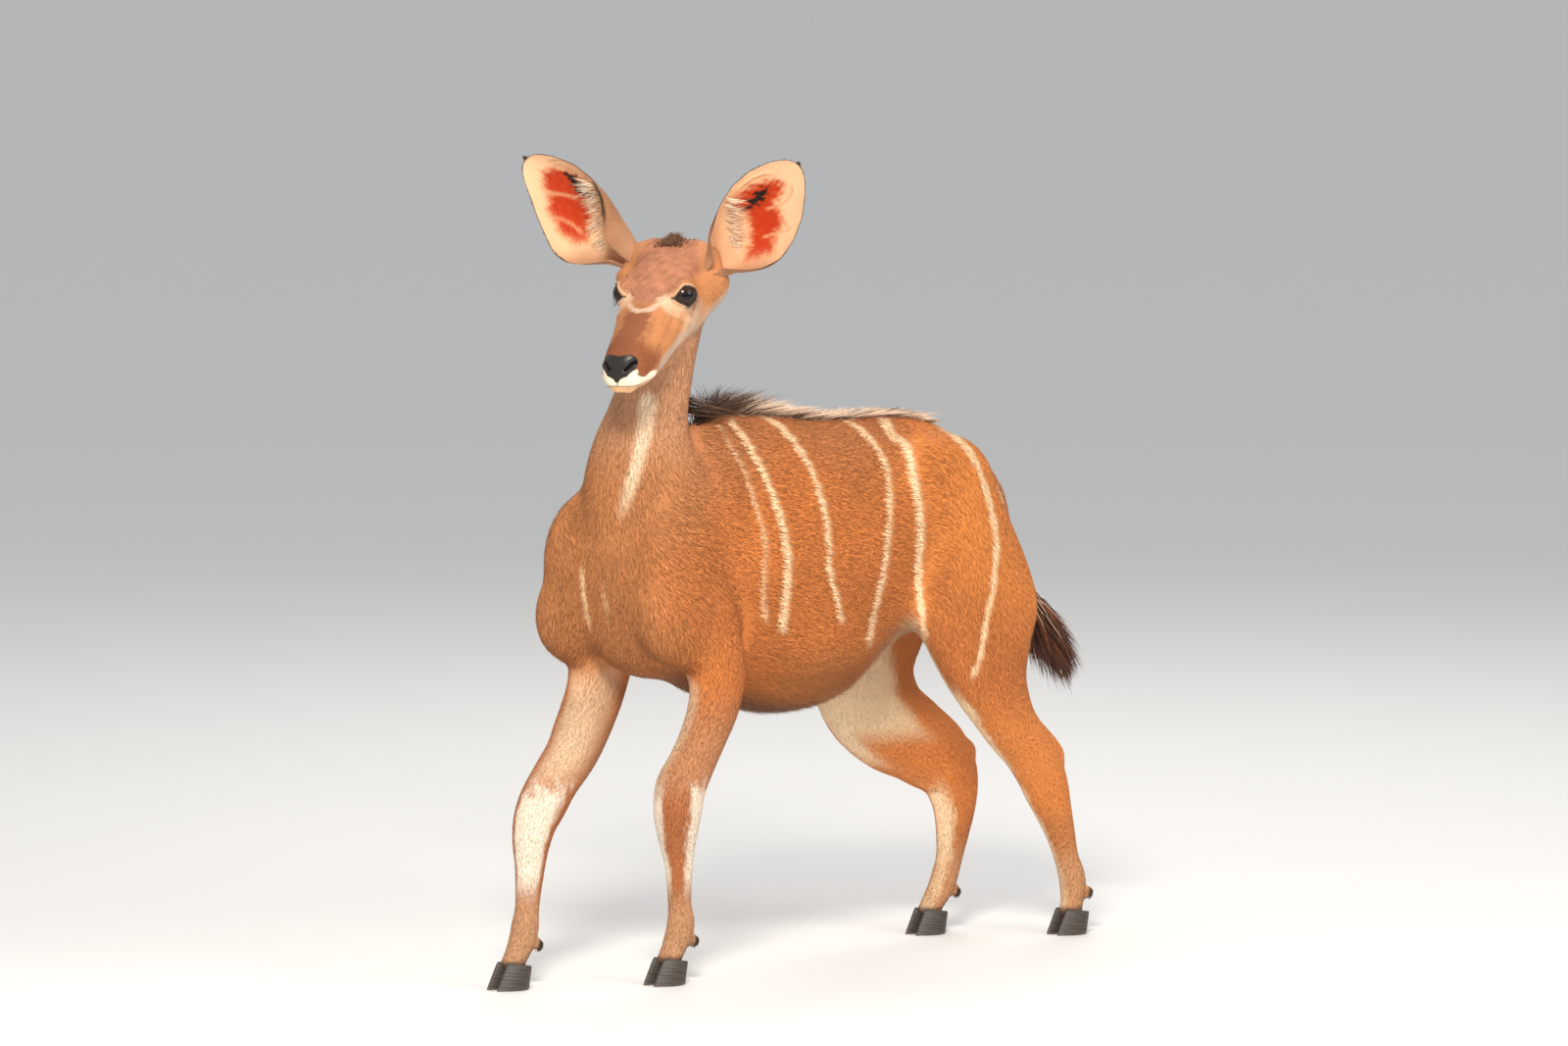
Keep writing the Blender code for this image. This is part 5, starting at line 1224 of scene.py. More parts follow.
def add(tree, kind, **values):
    node = tree.nodes.new(kind)
    for key, value in values.items():
        if key in node.inputs:
            node.inputs[key].default_value = value
        else:
            setattr(node, key, value)
    return node


def painted(tree):
    return add(tree, "ShaderNodeAttribute", attribute_name="paint").outputs["Color"]


def bump(tree, shader, scale, strength, distance, detail=4.0, stretch=(1, 1, 1)):
    """Fine unevenness in the surface's own space."""
    space = add(tree, "ShaderNodeTexCoord")
    move = add(tree, "ShaderNodeMapping", Scale=stretch)
    noise = add(tree, "ShaderNodeTexNoise", Scale=scale, Detail=detail, Roughness=0.6)
    hill = add(tree, "ShaderNodeBump", Strength=strength, Distance=distance)
    tree.links.new(space.outputs["Object"], move.inputs["Vector"])
    tree.links.new(move.outputs["Vector"], noise.inputs["Vector"])
    tree.links.new(noise.outputs["Fac"], hill.inputs["Height"])
    tree.links.new(hill.outputs["Normal"], shader.inputs["Normal"])
    return noise


def tinted(tree, shader, noise, low, high):
    """The painted colour made a little darker and lighter by the noise."""
    span = add(tree, "ShaderNodeMapRange")
    span.inputs["To Min"].default_value = low
    span.inputs["To Max"].default_value = high
    mix = add(tree, "ShaderNodeMix", data_type="RGBA", blend_type="MULTIPLY")
    mix.inputs["Factor"].default_value = 1.0
    tree.links.new(noise.outputs["Fac"], span.inputs["Value"])
    tree.links.new(painted(tree), mix.inputs["A"])
    tree.links.new(span.outputs["Result"], mix.inputs["B"])
    tree.links.new(mix.outputs["Result"], shader.inputs["Base Color"])


def skin_material():
    mat, tree, shader = principled("kudu skin", 0.72, 0.25)
    noise = bump(tree, shader, 1100.0, 0.40, 0.0004, stretch=(1, 0.35, 0.6))
    tinted(tree, shader, noise, 0.88, 1.12)
    wet = add(tree, "ShaderNodeAttribute", attribute_name="wet")
    span = add(tree, "ShaderNodeMapRange")
    span.inputs["To Min"].default_value = 0.75
    span.inputs["To Max"].default_value = 0.30
    tree.links.new(wet.outputs["Fac"], span.inputs["Value"])
    tree.links.new(span.outputs["Result"], shader.inputs["Roughness"])
    return mat


def hair_material(name, roughness, scale=1600.0):
    mat, tree, shader = principled(name, roughness, 0.30)
    noise = bump(tree, shader, scale, 0.20, 0.0002, detail=3.0)
    tinted(tree, shader, noise, 0.90, 1.10)
    return mat


def set_colours(mesh, name, colours):
    layer = mesh.attributes.new(name, "FLOAT_COLOR", "POINT")
    rgba = np.ones((len(mesh.vertices), 4))
    rgba[:, :3] = colours if np.ndim(colours) == 2 else np.asarray(colours)[:, None]
    layer.data.foreach_set("color", rgba.ravel())


# The coat: closed tufts of three sides that taper to a point
def strands(name, roots, normals, ways, length, width, colour, lift, material, curl=None, rings=1,
            flat=0.35, patches=None, tip_shade=1.15, root_shade=0.80, sink=0.0012):
    """Many tufts in one mesh. roots, normals and ways are in the animal's own directions."""
    count = len(roots)
    lean = lift[:, None]
    way = ways * np.cos(lean) + normals * np.sin(lean)
    across = np.cross(way, normals)
    across /= np.maximum(np.linalg.norm(across, axis=1), 1e-9)[:, None]
    upward = np.cross(across, way)
    curl = np.zeros((count, 3)) if curl is None else curl
    steps = [0.0, 0.45, 0.78][:rings]
    widths = [1.0, 0.80, 0.48][:rings]
    per = 3 * rings + 1
    co = np.empty((count, per, 3))
    shade = np.empty((count, per))
    local = np.empty((count, per, 2))
    for i, (t, w) in enumerate(zip(steps, widths)):
        centre = roots - normals * sink + way * (length * t)[:, None] + curl * t * t
        half = across * (width * w / 2)[:, None]
        co[:, 3 * i] = centre - half
        co[:, 3 * i + 1] = centre + half
        co[:, 3 * i + 2] = centre + upward * (width * w * flat)[:, None]
        for k, x in enumerate((0.0, 1.0, 0.5)):
            shade[:, 3 * i + k] = root_shade + (tip_shade - root_shade) * t
            local[:, 3 * i + k] = (x, t)
    co[:, -1] = roots - normals * sink + way * length[:, None] + curl
    shade[:, -1] = tip_shade
    local[:, -1] = (0.5, 1.0)
    faces = [(0, 2, 1)]
    for i in range(rings - 1):
        for k, j in ((0, 1), (1, 2), (2, 0)):
            a, b = 3 * i + k, 3 * i + j
            faces += [(a, b, b + 3), (a, b + 3, a + 3)]
    last = 3 * (rings - 1)
    for k, j in ((0, 1), (1, 2), (2, 0)):
        faces.append((last + k, last + j, per - 1))
    faces = np.array(faces)
    index = (faces[None] + (np.arange(count) * per)[:, None, None]).reshape(-1, 3)
    mesh = bpy.data.meshes.new(name)
    mesh.vertices.add(count * per)
    mesh.vertices.foreach_set("co", place(co.reshape(-1, 3)).ravel())
    mesh.loops.add(index.size)
    mesh.loops.foreach_set("vertex_index", index.ravel().astype(np.int32))
    mesh.polygons.add(len(index))
    mesh.polygons.foreach_set("loop_start", np.arange(0, index.size, 3, dtype=np.int32))
    mesh.update(calc_edges=True)
    tint = colour[:, None, :] * shade[:, :, None]
    set_colours(mesh, "paint", np.clip(tint, 0, 1).reshape(-1, 3))
    if patches is not None:
        uv = (patches[:, None] + (local - 0.5) * PATCH).reshape(-1, 2)
        layer = mesh.uv_layers.new(name="OFBake")
        layer.data.foreach_set("uv", uv[index.ravel()].ravel())
    mesh.materials.append(material)
    obj = bpy.data.objects.new(name, mesh)
    bpy.context.collection.objects.link(obj)
    return obj


def scatter(obj, density, seed):
    """Roots spread evenly over the mesh by a density at each point: places, normals."""
    mesh = obj.data
    mesh.calc_loop_triangles()
    tri = np.empty(len(mesh.loop_triangles) * 3, dtype=np.int32)
    mesh.loop_triangles.foreach_get("vertices", tri)
    tri = tri.reshape(-1, 3)
    co, no = read_mesh(mesh)
    co, no = flu(co), turned(no)
    a, b, c = co[tri[:, 0]], co[tri[:, 1]], co[tri[:, 2]]
    area = np.linalg.norm(np.cross(b - a, c - a), axis=1) / 2
    weight = area * density[tri].mean(axis=1)
    total = np.cumsum(weight)
    count = int(total[-1])
    rng = np.random.default_rng(seed)
    at = (np.arange(count) + rng.random(count)) * total[-1] / count
    pick = np.minimum(np.searchsorted(total, at), len(tri) - 1)
    r1, r2 = np.sqrt(rng.random(count)), rng.random(count)
    w = np.stack([1 - r1, r1 * (1 - r2), r1 * r2], axis=1)
    roots = (co[tri[pick]] * w[:, :, None]).sum(axis=1)
    normals = (no[tri[pick]] * w[:, :, None]).sum(axis=1)
    normals /= np.linalg.norm(normals, axis=1)[:, None]
    return roots, normals, rng


COAT_PIECE = 48000          # tufts in one piece of the coat
BODY_DENSITY = 138000.0     # tufts a square metre
LEG_DENSITY = 170000.0
FACE_DENSITY = 360000.0
BODY_HAIR = (0.0120, 0.00135)    # length and width of a tuft
LEG_HAIR = (0.0085, 0.00115)
FACE_HAIR = (0.0050, 0.00070)


def coat(skin, material):
    """Short tufts all over the skin, longest on the trunk and smallest on the face."""
    co, no = read_mesh(skin.data)
    p, n = flu(co), turned(no)
    shares, _, _ = survey(p)
    share = {name: shares[:, k] for k, name in enumerate(PARTS)}
    legs = sum(share[name] for name in LEGS) * smooth(0.50 - p[:, 2], 0, 0.15)
    density = BODY_DENSITY + (LEG_DENSITY - BODY_DENSITY) * legs
    density = density + (FACE_DENSITY - density) * smooth(share["head"], 0.3, 0.8)
    density *= 1 - smooth(wetness(p, n), 0.1, 0.4)
    density *= smooth(p[:, 2], 0.036, 0.042)
    density[eye_hidden(p)] = 0
    roots, normals, rng = scatter(skin, density, 11)
    shares, way, spot = survey(roots)
    way = hair_way(roots, normals, way, shares)
    count = len(roots)
    share = {name: shares[:, k] for k, name in enumerate(PARTS)}
    legs = sum(share[name] for name in LEGS) * smooth(0.50 - roots[:, 2], 0, 0.15)
    face = smooth(share["head"], 0.2, 0.8)
    loc = head_local(roots)
    length = BODY_HAIR[0] + (LEG_HAIR[0] - BODY_HAIR[0]) * legs
    length = length + (FACE_HAIR[0] - 0.0020 * smooth(loc[:, 0], 0.18, 0.25) - length) * face
    width = BODY_HAIR[1] + (LEG_HAIR[1] - BODY_HAIR[1]) * legs
    width = width + (FACE_HAIR[1] - width) * face
    length = length * (0.7 + 0.6 * rng.random(count))
    width = width * (0.7 + 0.6 * rng.random(count))
    side = np.cross(normals, way)
    way = way + side * (rng.normal(size=count) * 0.10)[:, None]
    way /= np.linalg.norm(way, axis=1)[:, None]
    lift = np.radians(5.0 + 4.5 * rng.random(count)) * (1 - 0.2 * face)
    # longer, looser hair along the belly and between the forelegs
    belly = smooth(-normals[:, 2], 0.30, 0.80) * share["torso"]
    length = length * (1 + 0.9 * belly)
    lift = lift * (1 + 1.4 * belly)
    colour = paint(roots, normals, shares)
    colour = colour * (0.86 + 0.26 * rng.random(count))[:, None]
    colour[:, 2] *= 0.95 + 0.10 * rng.random(count)
    patches = unwrap(shares, spot)
    part = shares.argmax(axis=1)
    pieces = []
    for k, name in enumerate(PARTS):
        chosen = np.nonzero(part == k)[0]
        chosen = rng.permutation(chosen)
        for i in range(0, len(chosen), COAT_PIECE):
            c = chosen[i:i + COAT_PIECE]
            piece = strands(f"coat_{name}_{i // COAT_PIECE + 1}", roots[c], normals[c], way[c], length[c], width[c],
                            colour[c], lift[c], material, curl=-normals[c] * (length[c] * 0.03)[:, None],
                            patches=patches[c], flat=0.18, tip_shade=1.10, root_shade=0.95,
                            sink=0.0003)
            pieces.append((piece, name))
    return pieces


def eye_hidden(p):
    """True for points of the skin behind the opening of the lids."""
    hidden = np.zeros(len(p), bool)
    for side in (1, -1):
        s, _, _, far = lid_edge(p, side)
        hidden |= (s < 0.0012) & (far < EYE_RADIUS + 0.02)
    return hidden


# Eyes
def eye_piece(side, word):
    """A wet dark ball with a raised clear front, a brown ring and a long level pupil."""
    centre, level, over, aim = eye_frame(side)
    verts, faces = ball(centre, [EYE_RADIUS - 0.0002] * 3, (level, over, aim), 60, 96)
    d = (verts - centre) / EYE_RADIUS
    x, y, z = d @ level, d @ over, d @ aim
    front = smooth(z, 0.72, 0.98)
    verts = verts + aim * (0.0006 * front)[:, None]
    ring = np.hypot(x, y)
    colour = np.tile((0.012, 0.008, 0.006), (len(verts), 1)).astype(float)
    colour = lay(colour, (0.022, 0.011, 0.007), smooth(0.74 - ring, 0, 0.10))
    streak = 0.5 + 0.5 * np.sin(np.arctan2(y, x) * 38 + 3 * np.sin(ring * 30))
    colour = lay(colour, (0.034, 0.016, 0.008), smooth(0.66 - ring, 0, 0.08) * smooth(ring, 0.25, 0.5) * streak * 0.6)
    pupil = np.hypot(x / 0.46, y / 0.24)
    colour = lay(colour, (0.003, 0.003, 0.004), smooth(1.12 - pupil, 0, 0.18))
    white = smooth(ring, 0.86, 0.96) * smooth(z, 0.0, 0.3)
    colour = lay(colour, (0.10, 0.055, 0.035), white * 0.7)
    obj = make("kudu_eye_" + word, verts, faces)
    set_colours(obj.data, "paint", colour)
    obj.data.polygons.foreach_set("use_smooth", np.ones(len(obj.data.polygons), bool))
    mat, tree, shader = principled("eye " + word, 0.10, 0.2)
    tree.links.new(painted(tree), shader.inputs["Base Color"])
    shader.inputs["Coat Weight"].default_value = 0.35
    shader.inputs["Coat Roughness"].default_value = 0.02
    shader.inputs["IOR"].default_value = 1.34
    obj.data.materials.append(mat)
    return obj


# Hooves
FEET = {}
for name, rows in LEGS.items():
    f, l = rows[-1][:2]
    words = ((1, "outer"), (-1, "inner")) if l > 0 else ((1, "inner"), (-1, "outer"))
    FEET[name.replace("leg", "hoof")] = ((f, l), words)
HOOF_RINGS = 26
HOOF_SIDES = 64


def hoof_piece(name, foot, side, lean=0.0):
    """One toe: pointed in front, cut level below, with growth rings and a soft upper edge."""
    f0, l0 = foot
    half = HOOF_LENGTH / 2 - 0.0004
    verts, faces, tint = [], [], []
    for i in range(HOOF_RINGS):
        t = i / (HOOF_RINGS - 1)
        reach = half * (1 - 0.28 * t)
        wide = 0.0158 * (1 - 0.10 * t)
        slide = 0.010 - 0.014 * t
        growth = 0.00022 * sin(t * 46) + 0.00012 * sin(t * 101 + 1.3)
        edge = 0.0012 * max(0.0, (t - 0.9) / 0.1) ** 2 + 0.0007 * max(0.0, (0.06 - t) / 0.06) ** 2
        for k in range(HOOF_SIDES):
            x, y = cos(tau * k / HOOF_SIDES), sin(tau * k / HOOF_SIDES)
            ahead = max(x, 0.0)
            grow = growth - edge
            f = f0 + slide + (reach + grow) * (x if x > 0 else 0.86 * x)
            l = (wide + grow) * y * (1 - 0.55 * ahead ** 2) + side * (0.0172 - 0.005 * ahead)
            if side * (l - side * 0.0014) < 0:
                l = side * 0.0014
            top = HOOF_HEIGHT + 0.16 * (f - f0)
            verts.append((f, l0 + l, 0.0002 + top * t))
            band = 0.9 + 0.25 * sin(t * 46) + 0.15 * sin(t * 23 + k * 0.3)
            worn = 1.6 if t < 0.12 else 1.0
            tint.append(np.array([0.052, 0.040, 0.032]) * band * worn)
    for i in range(HOOF_RINGS - 1):
        for k in range(HOOF_SIDES):
            a, b = i * HOOF_SIDES + k, i * HOOF_SIDES + (k + 1) % HOOF_SIDES
            faces.append((a, b, b + HOOF_SIDES, a + HOOF_SIDES))
    faces.append(tuple(range(HOOF_SIDES))[::-1])
    faces.append(tuple((HOOF_RINGS - 1) * HOOF_SIDES + k for k in range(HOOF_SIDES)))
    obj = make(name, np.array(verts), faces)
    set_colours(obj.data, "paint", np.array(tint))
    return obj


def horn_material():
    mat, tree, shader = principled("hoof horn", 0.48, 0.4)
    noise = bump(tree, shader, 700.0, 0.4, 0.0004, stretch=(1, 1, 3))
    tinted(tree, shader, noise, 0.7, 1.3)
    return mat


# Ears
EAR_WAY = {1: (0.09, 0.673, 0.735), -1: (0.24, 0.760, 0.760)}
EAR_RAISE = {1: -0.027, -1: -0.016}
EAR_FULL = {1: 0.0, -1: 0.007}


EAR_BOTTOM, EAR_TOP = -0.036, 0.1935
EAR_HEIGHT = (-0.036, -0.005, 0.013, 0.042, 0.067, 0.099, 0.1325, 0.1615, 0.177, 0.187, 0.1918, 0.1935)
EAR_INNER = (-0.016, -0.024, -0.034, -0.045, -0.0525, -0.057, -0.051, -0.037, -0.026, -0.016, -0.008, -0.001)
EAR_OUTER = (0.014, 0.028, 0.045, 0.068, 0.0755, 0.0725, 0.061, 0.043, 0.0315, 0.0210, 0.0120, 0.0040)
EAR_DEEP = (0.020, 0.030, 0.036, 0.041, 0.040, 0.034, 0.025, 0.014, 0.008, 0.004, 0.002, 0.001)
EAR_ROLL = (165, 160, 145, 118, 97, 74, 58, 42, 32, 24, 20, 20)
EAR_ROWS, EAR_COLUMNS = 64, 56
EAR_SHELL = 0.0032
EAR_RED = {
    1: ((747, 205), (756, 197), (766, 190), (778, 186), (792, 184), (799, 188), (797, 197), (789, 207), (795, 216),
        (798, 228), (792, 236), (789, 246), (789, 256), (780, 260), (768, 263), (760, 267), (764, 256), (767, 244),
        (766, 230), (763, 218), (756, 213), (748, 210)),
    -1: ((555, 176), (566, 172), (580, 175), (592, 184), (602, 196), (605, 203), (593, 205), (600, 213),
         (603, 222), (598, 234), (600, 246), (590, 247), (578, 241), (569, 232), (566, 222), (559, 212),
         (562, 202), (556, 190)),
}
EAR_BLACK = {
    1: ((759, 215), (764, 205), (771, 197), (778, 192), (783, 192), (782, 200), (776, 206), (768, 212)),
    -1: ((577, 176), (586, 180), (595, 186), (603, 196), (605, 202), (598, 200), (590, 195), (582, 187)),
}
EAR_FOLDS = {
    1: (((806, 186), (808, 195), (803, 204), (792, 210), (780, 214)),
        ((808, 229), (803, 235), (791, 238), (777, 243)), ((790, 180), (778, 180), (764, 187), (752, 198))),
    -1: (((556, 166), (572, 164), (587, 170), (598, 181), (604, 192)),
         ((549, 188), (560, 196), (577, 199), (592, 203)), ((555, 220), (570, 223), (584, 229), (596, 240))),
}
# where the long pale hair of the inner edge is rooted
EAR_FRINGE = {
    1: ((742, 206), (742, 216), (743, 229), (746, 242), (751, 255), (758, 267)),
    -1: ((606, 190), (611, 202), (613, 216), (613, 230), (615, 244), (619, 256)),
}


def ear_grid(side, rows, columns):
    """Points on the inside of the cup, the way it faces there, and its own along and across."""
    ahead, out, rise = EAR_WAY[side]
    along = unit(ahead * FACING + side * out * HEAD_SIDE + rise * UP)
    facing = unit(0.98 * FACING + side * 0.20 * HEAD_SIDE)
    facing = unit(facing - facing.dot(along) * along)
    across = np.cross(along, facing) * side
    mouth = np.array(POLL) - 0.010 * FACING + side * EAR_OUT[side] * HEAD_SIDE + EAR_RAISE[side] * UP
    grid = np.zeros((rows + 1, columns + 1, 3))
    for i in range(rows + 1):
        y = EAR_BOTTOM + (EAR_TOP - EAR_BOTTOM) * (i / rows) ** 0.85
        a, b, d, turn = (np.interp(y, EAR_HEIGHT, t) for t in (EAR_INNER, EAR_OUTER, EAR_DEEP, EAR_ROLL))
        b += EAR_FULL[side] * sin(pi * np.clip(y / 0.14, 0, 1))
        turn = radians(turn)
        radius = (b - a) / 2 / (sin(turn) if turn < pi / 2 else 1.0)
        for k in range(columns + 1):
            t = turn * (-1.05 + 2 * k / columns)
            x = (a + b) / 2 + radius * sin(t)
            z = -d + min(radius, 0.05) * (1 - cos(t))
            grid[i, k] = mouth + along * y * EAR_LENGTH / EAR_TOP + across * x + facing * (z + 0.008)
    return grid, along, across, facing


def ear_piece(side, word, skin_mat):
    rows, columns = EAR_ROWS, EAR_COLUMNS
    grid, along, across, facing = ear_grid(side, rows, columns)
    smooth_grid = grid.copy()
    for _ in range(14):
        inner = smooth_grid[1:-1, 1:-1]
        inner += 0.5 * ((smooth_grid[:-2, 1:-1] + smooth_grid[2:, 1:-1] + smooth_grid[1:-1, :-2]
                         + smooth_grid[1:-1, 2:]) / 4 - inner)
    grid = smooth_grid
    du = np.gradient(grid, axis=0)
    dv = np.gradient(grid, axis=1)
    n = np.cross(dv, du) * side
    n /= np.maximum(np.linalg.norm(n, axis=2), 1e-12)[:, :, None]
    i = np.arange(rows + 1)[:, None] / rows
    k = np.arange(columns + 1)[None] / columns
    rim = np.minimum(np.minimum(k, 1 - k) * 7.0, (1 - i) * 12.0) + 0 * i
    thick = 0.0011 + (EAR_SHELL - 0.0011) * smooth(rim, 0, 1.0)
    xy = photo_xy(grid.reshape(-1, 3))
    fold = np.zeros(len(xy))
    for line in EAR_FOLDS[side]:
        far, t = near_line(xy, curve(line, 2.0))
        ends = smooth(t, 0, 0.2) * smooth(1 - t, 0, 0.2)
        fold += ends * (0.0011 * np.exp(-((far - 2.0) / 1.8) ** 2) - 0.0009 * np.exp(-(far / 1.2) ** 2))
    fold = fold.reshape(rows + 1, columns + 1) * smooth(rim, 0.1, 0.8)
    front = grid + n * fold[:, :, None] - n * 0.0004
    behind = grid - n * thick[:, :, None]
    count = (rows + 1) * (columns + 1)
    verts = np.concatenate([front.reshape(-1, 3), behind.reshape(-1, 3)])
    faces = []
    for r in range(rows):
        for c in range(columns):
            a = r * (columns + 1) + c
            quad = (a, a + 1, a + columns + 2, a + columns + 1)
            faces.append(quad if side > 0 else quad[::-1])
            back = tuple(v + count for v in quad[::-1])
            faces.append(back if side > 0 else back[::-1])
    edge = ([c for c in range(columns + 1)] + [r * (columns + 1) + columns for r in range(1, rows + 1)]
            + [rows * (columns + 1) + c for c in range(columns - 1, -1, -1)]
            + [r * (columns + 1) for r in range(rows - 1, 0, -1)])
    for a, b in zip(edge, edge[1:] + edge[:1]):
        quad = (b, a, a + count, b + count)
        faces.append(quad if side > 0 else quad[::-1])
    obj = make("kudu_ear_" + word, verts, faces)
    colour = np.concatenate([paint_ear(side, front.reshape(-1, 3), i, k, True),
                             paint_ear(side, behind.reshape(-1, 3), i, k, False)])
    set_colours(obj.data, "paint", colour)
    set_colours(obj.data, "wet", np.zeros(len(verts)))
    obj.data.polygons.foreach_set("use_smooth", np.ones(len(obj.data.polygons), bool))
    obj.data.materials.append(skin_mat)
    return obj, front, behind, n, i, k


def ear_places(i, k):
    row = np.broadcast_to(i, (i.shape[0], k.shape[1])).ravel()
    column = np.broadcast_to(k, (i.shape[0], k.shape[1])).ravel()
    return row, column


def paint_ear(side, p, i, k, front):
    """Cream and red inside with a dark rim, brown behind."""
    row, column = ear_places(i, k) if i.ndim == 2 else (i, k)
    edge = np.minimum(np.minimum(column, 1 - column) * 1.35, (1 - row) * 1.9)
    xy = photo_xy(p)
    rough = ragged(p, 0.010, 1.6, 21) + ragged(p, 0.004, 0.9, 22)
    if front:
        colour = np.tile((0.76, 0.475, 0.280), (len(p), 1))
        red = smooth(inside(xy, EAR_RED[side]) + rough, -4.0, 5.0)
        colour = lay(colour, (0.62, 0.19, 0.07), smooth(inside(xy, EAR_RED[side]) + rough, -8.0, 1.0) * 0.55)
        colour = lay(colour, (0.42, 0.030, 0.003), red)
        colour = lay(colour, (0.46, 0.046, 0.004), red * smooth(ragged(p, 0.012, 1.0, 23), -0.2, 0.8) * 0.7)
        # painted shading along the folds of the cup
        for line in EAR_FOLDS[side]:
            far, t = near_line(xy, curve(line, 2.0))
            colour = lay(colour, (0.66, 0.33, 0.17), smooth(1.7 - far, -0.6, 0.8) * smooth(t * (1 - t), 0, 0.1) * 0.7)
        colour = lay(colour, (0.008, 0.004, 0.003), smooth(inside(xy, EAR_BLACK[side]) + rough * 1.3, -1.5, 1.2))
        low = smooth(0.40 - row, 0, 0.18) * smooth(column, 0.60, 0.80)
        colour = lay(colour, (0.40, 0.23, 0.14), low * 0.75)
        # painted shade deep at the bottom of the cup
        cup_shade = smooth(0.30 - row, 0, 0.2)
        colour = lay(colour, (0.36, 0.15, 0.07), cup_shade * smooth(column, 0.3, 0.5) * 0.4)
        rim_half = 0.009 + 0.026 * smooth(0.55 - row, 0, 0.3) * smooth(column, 0.7, 0.9)
        dark = smooth(rim_half + 0.002 * rough - edge, -0.006, 0.006) * smooth(row, 0.20, 0.34)
        colour = lay(colour, (0.028, 0.014, 0.009), dark)
    else:
        colour = np.tile((0.30, 0.135, 0.062), (len(p), 1))
        colour = lay(colour, (0.20, 0.085, 0.040), smooth(row, 0.4, 0.9) * 0.6)
        colour = lay(colour, (0.42, 0.22, 0.12), smooth(0.30 - row, 0, 0.2))
        dark = smooth(0.060 + 0.004 * rough - edge, -0.02, 0.03) * smooth(row, 0.20, 0.34)
        colour = lay(colour, (0.025, 0.013, 0.008), dark)
    return colour


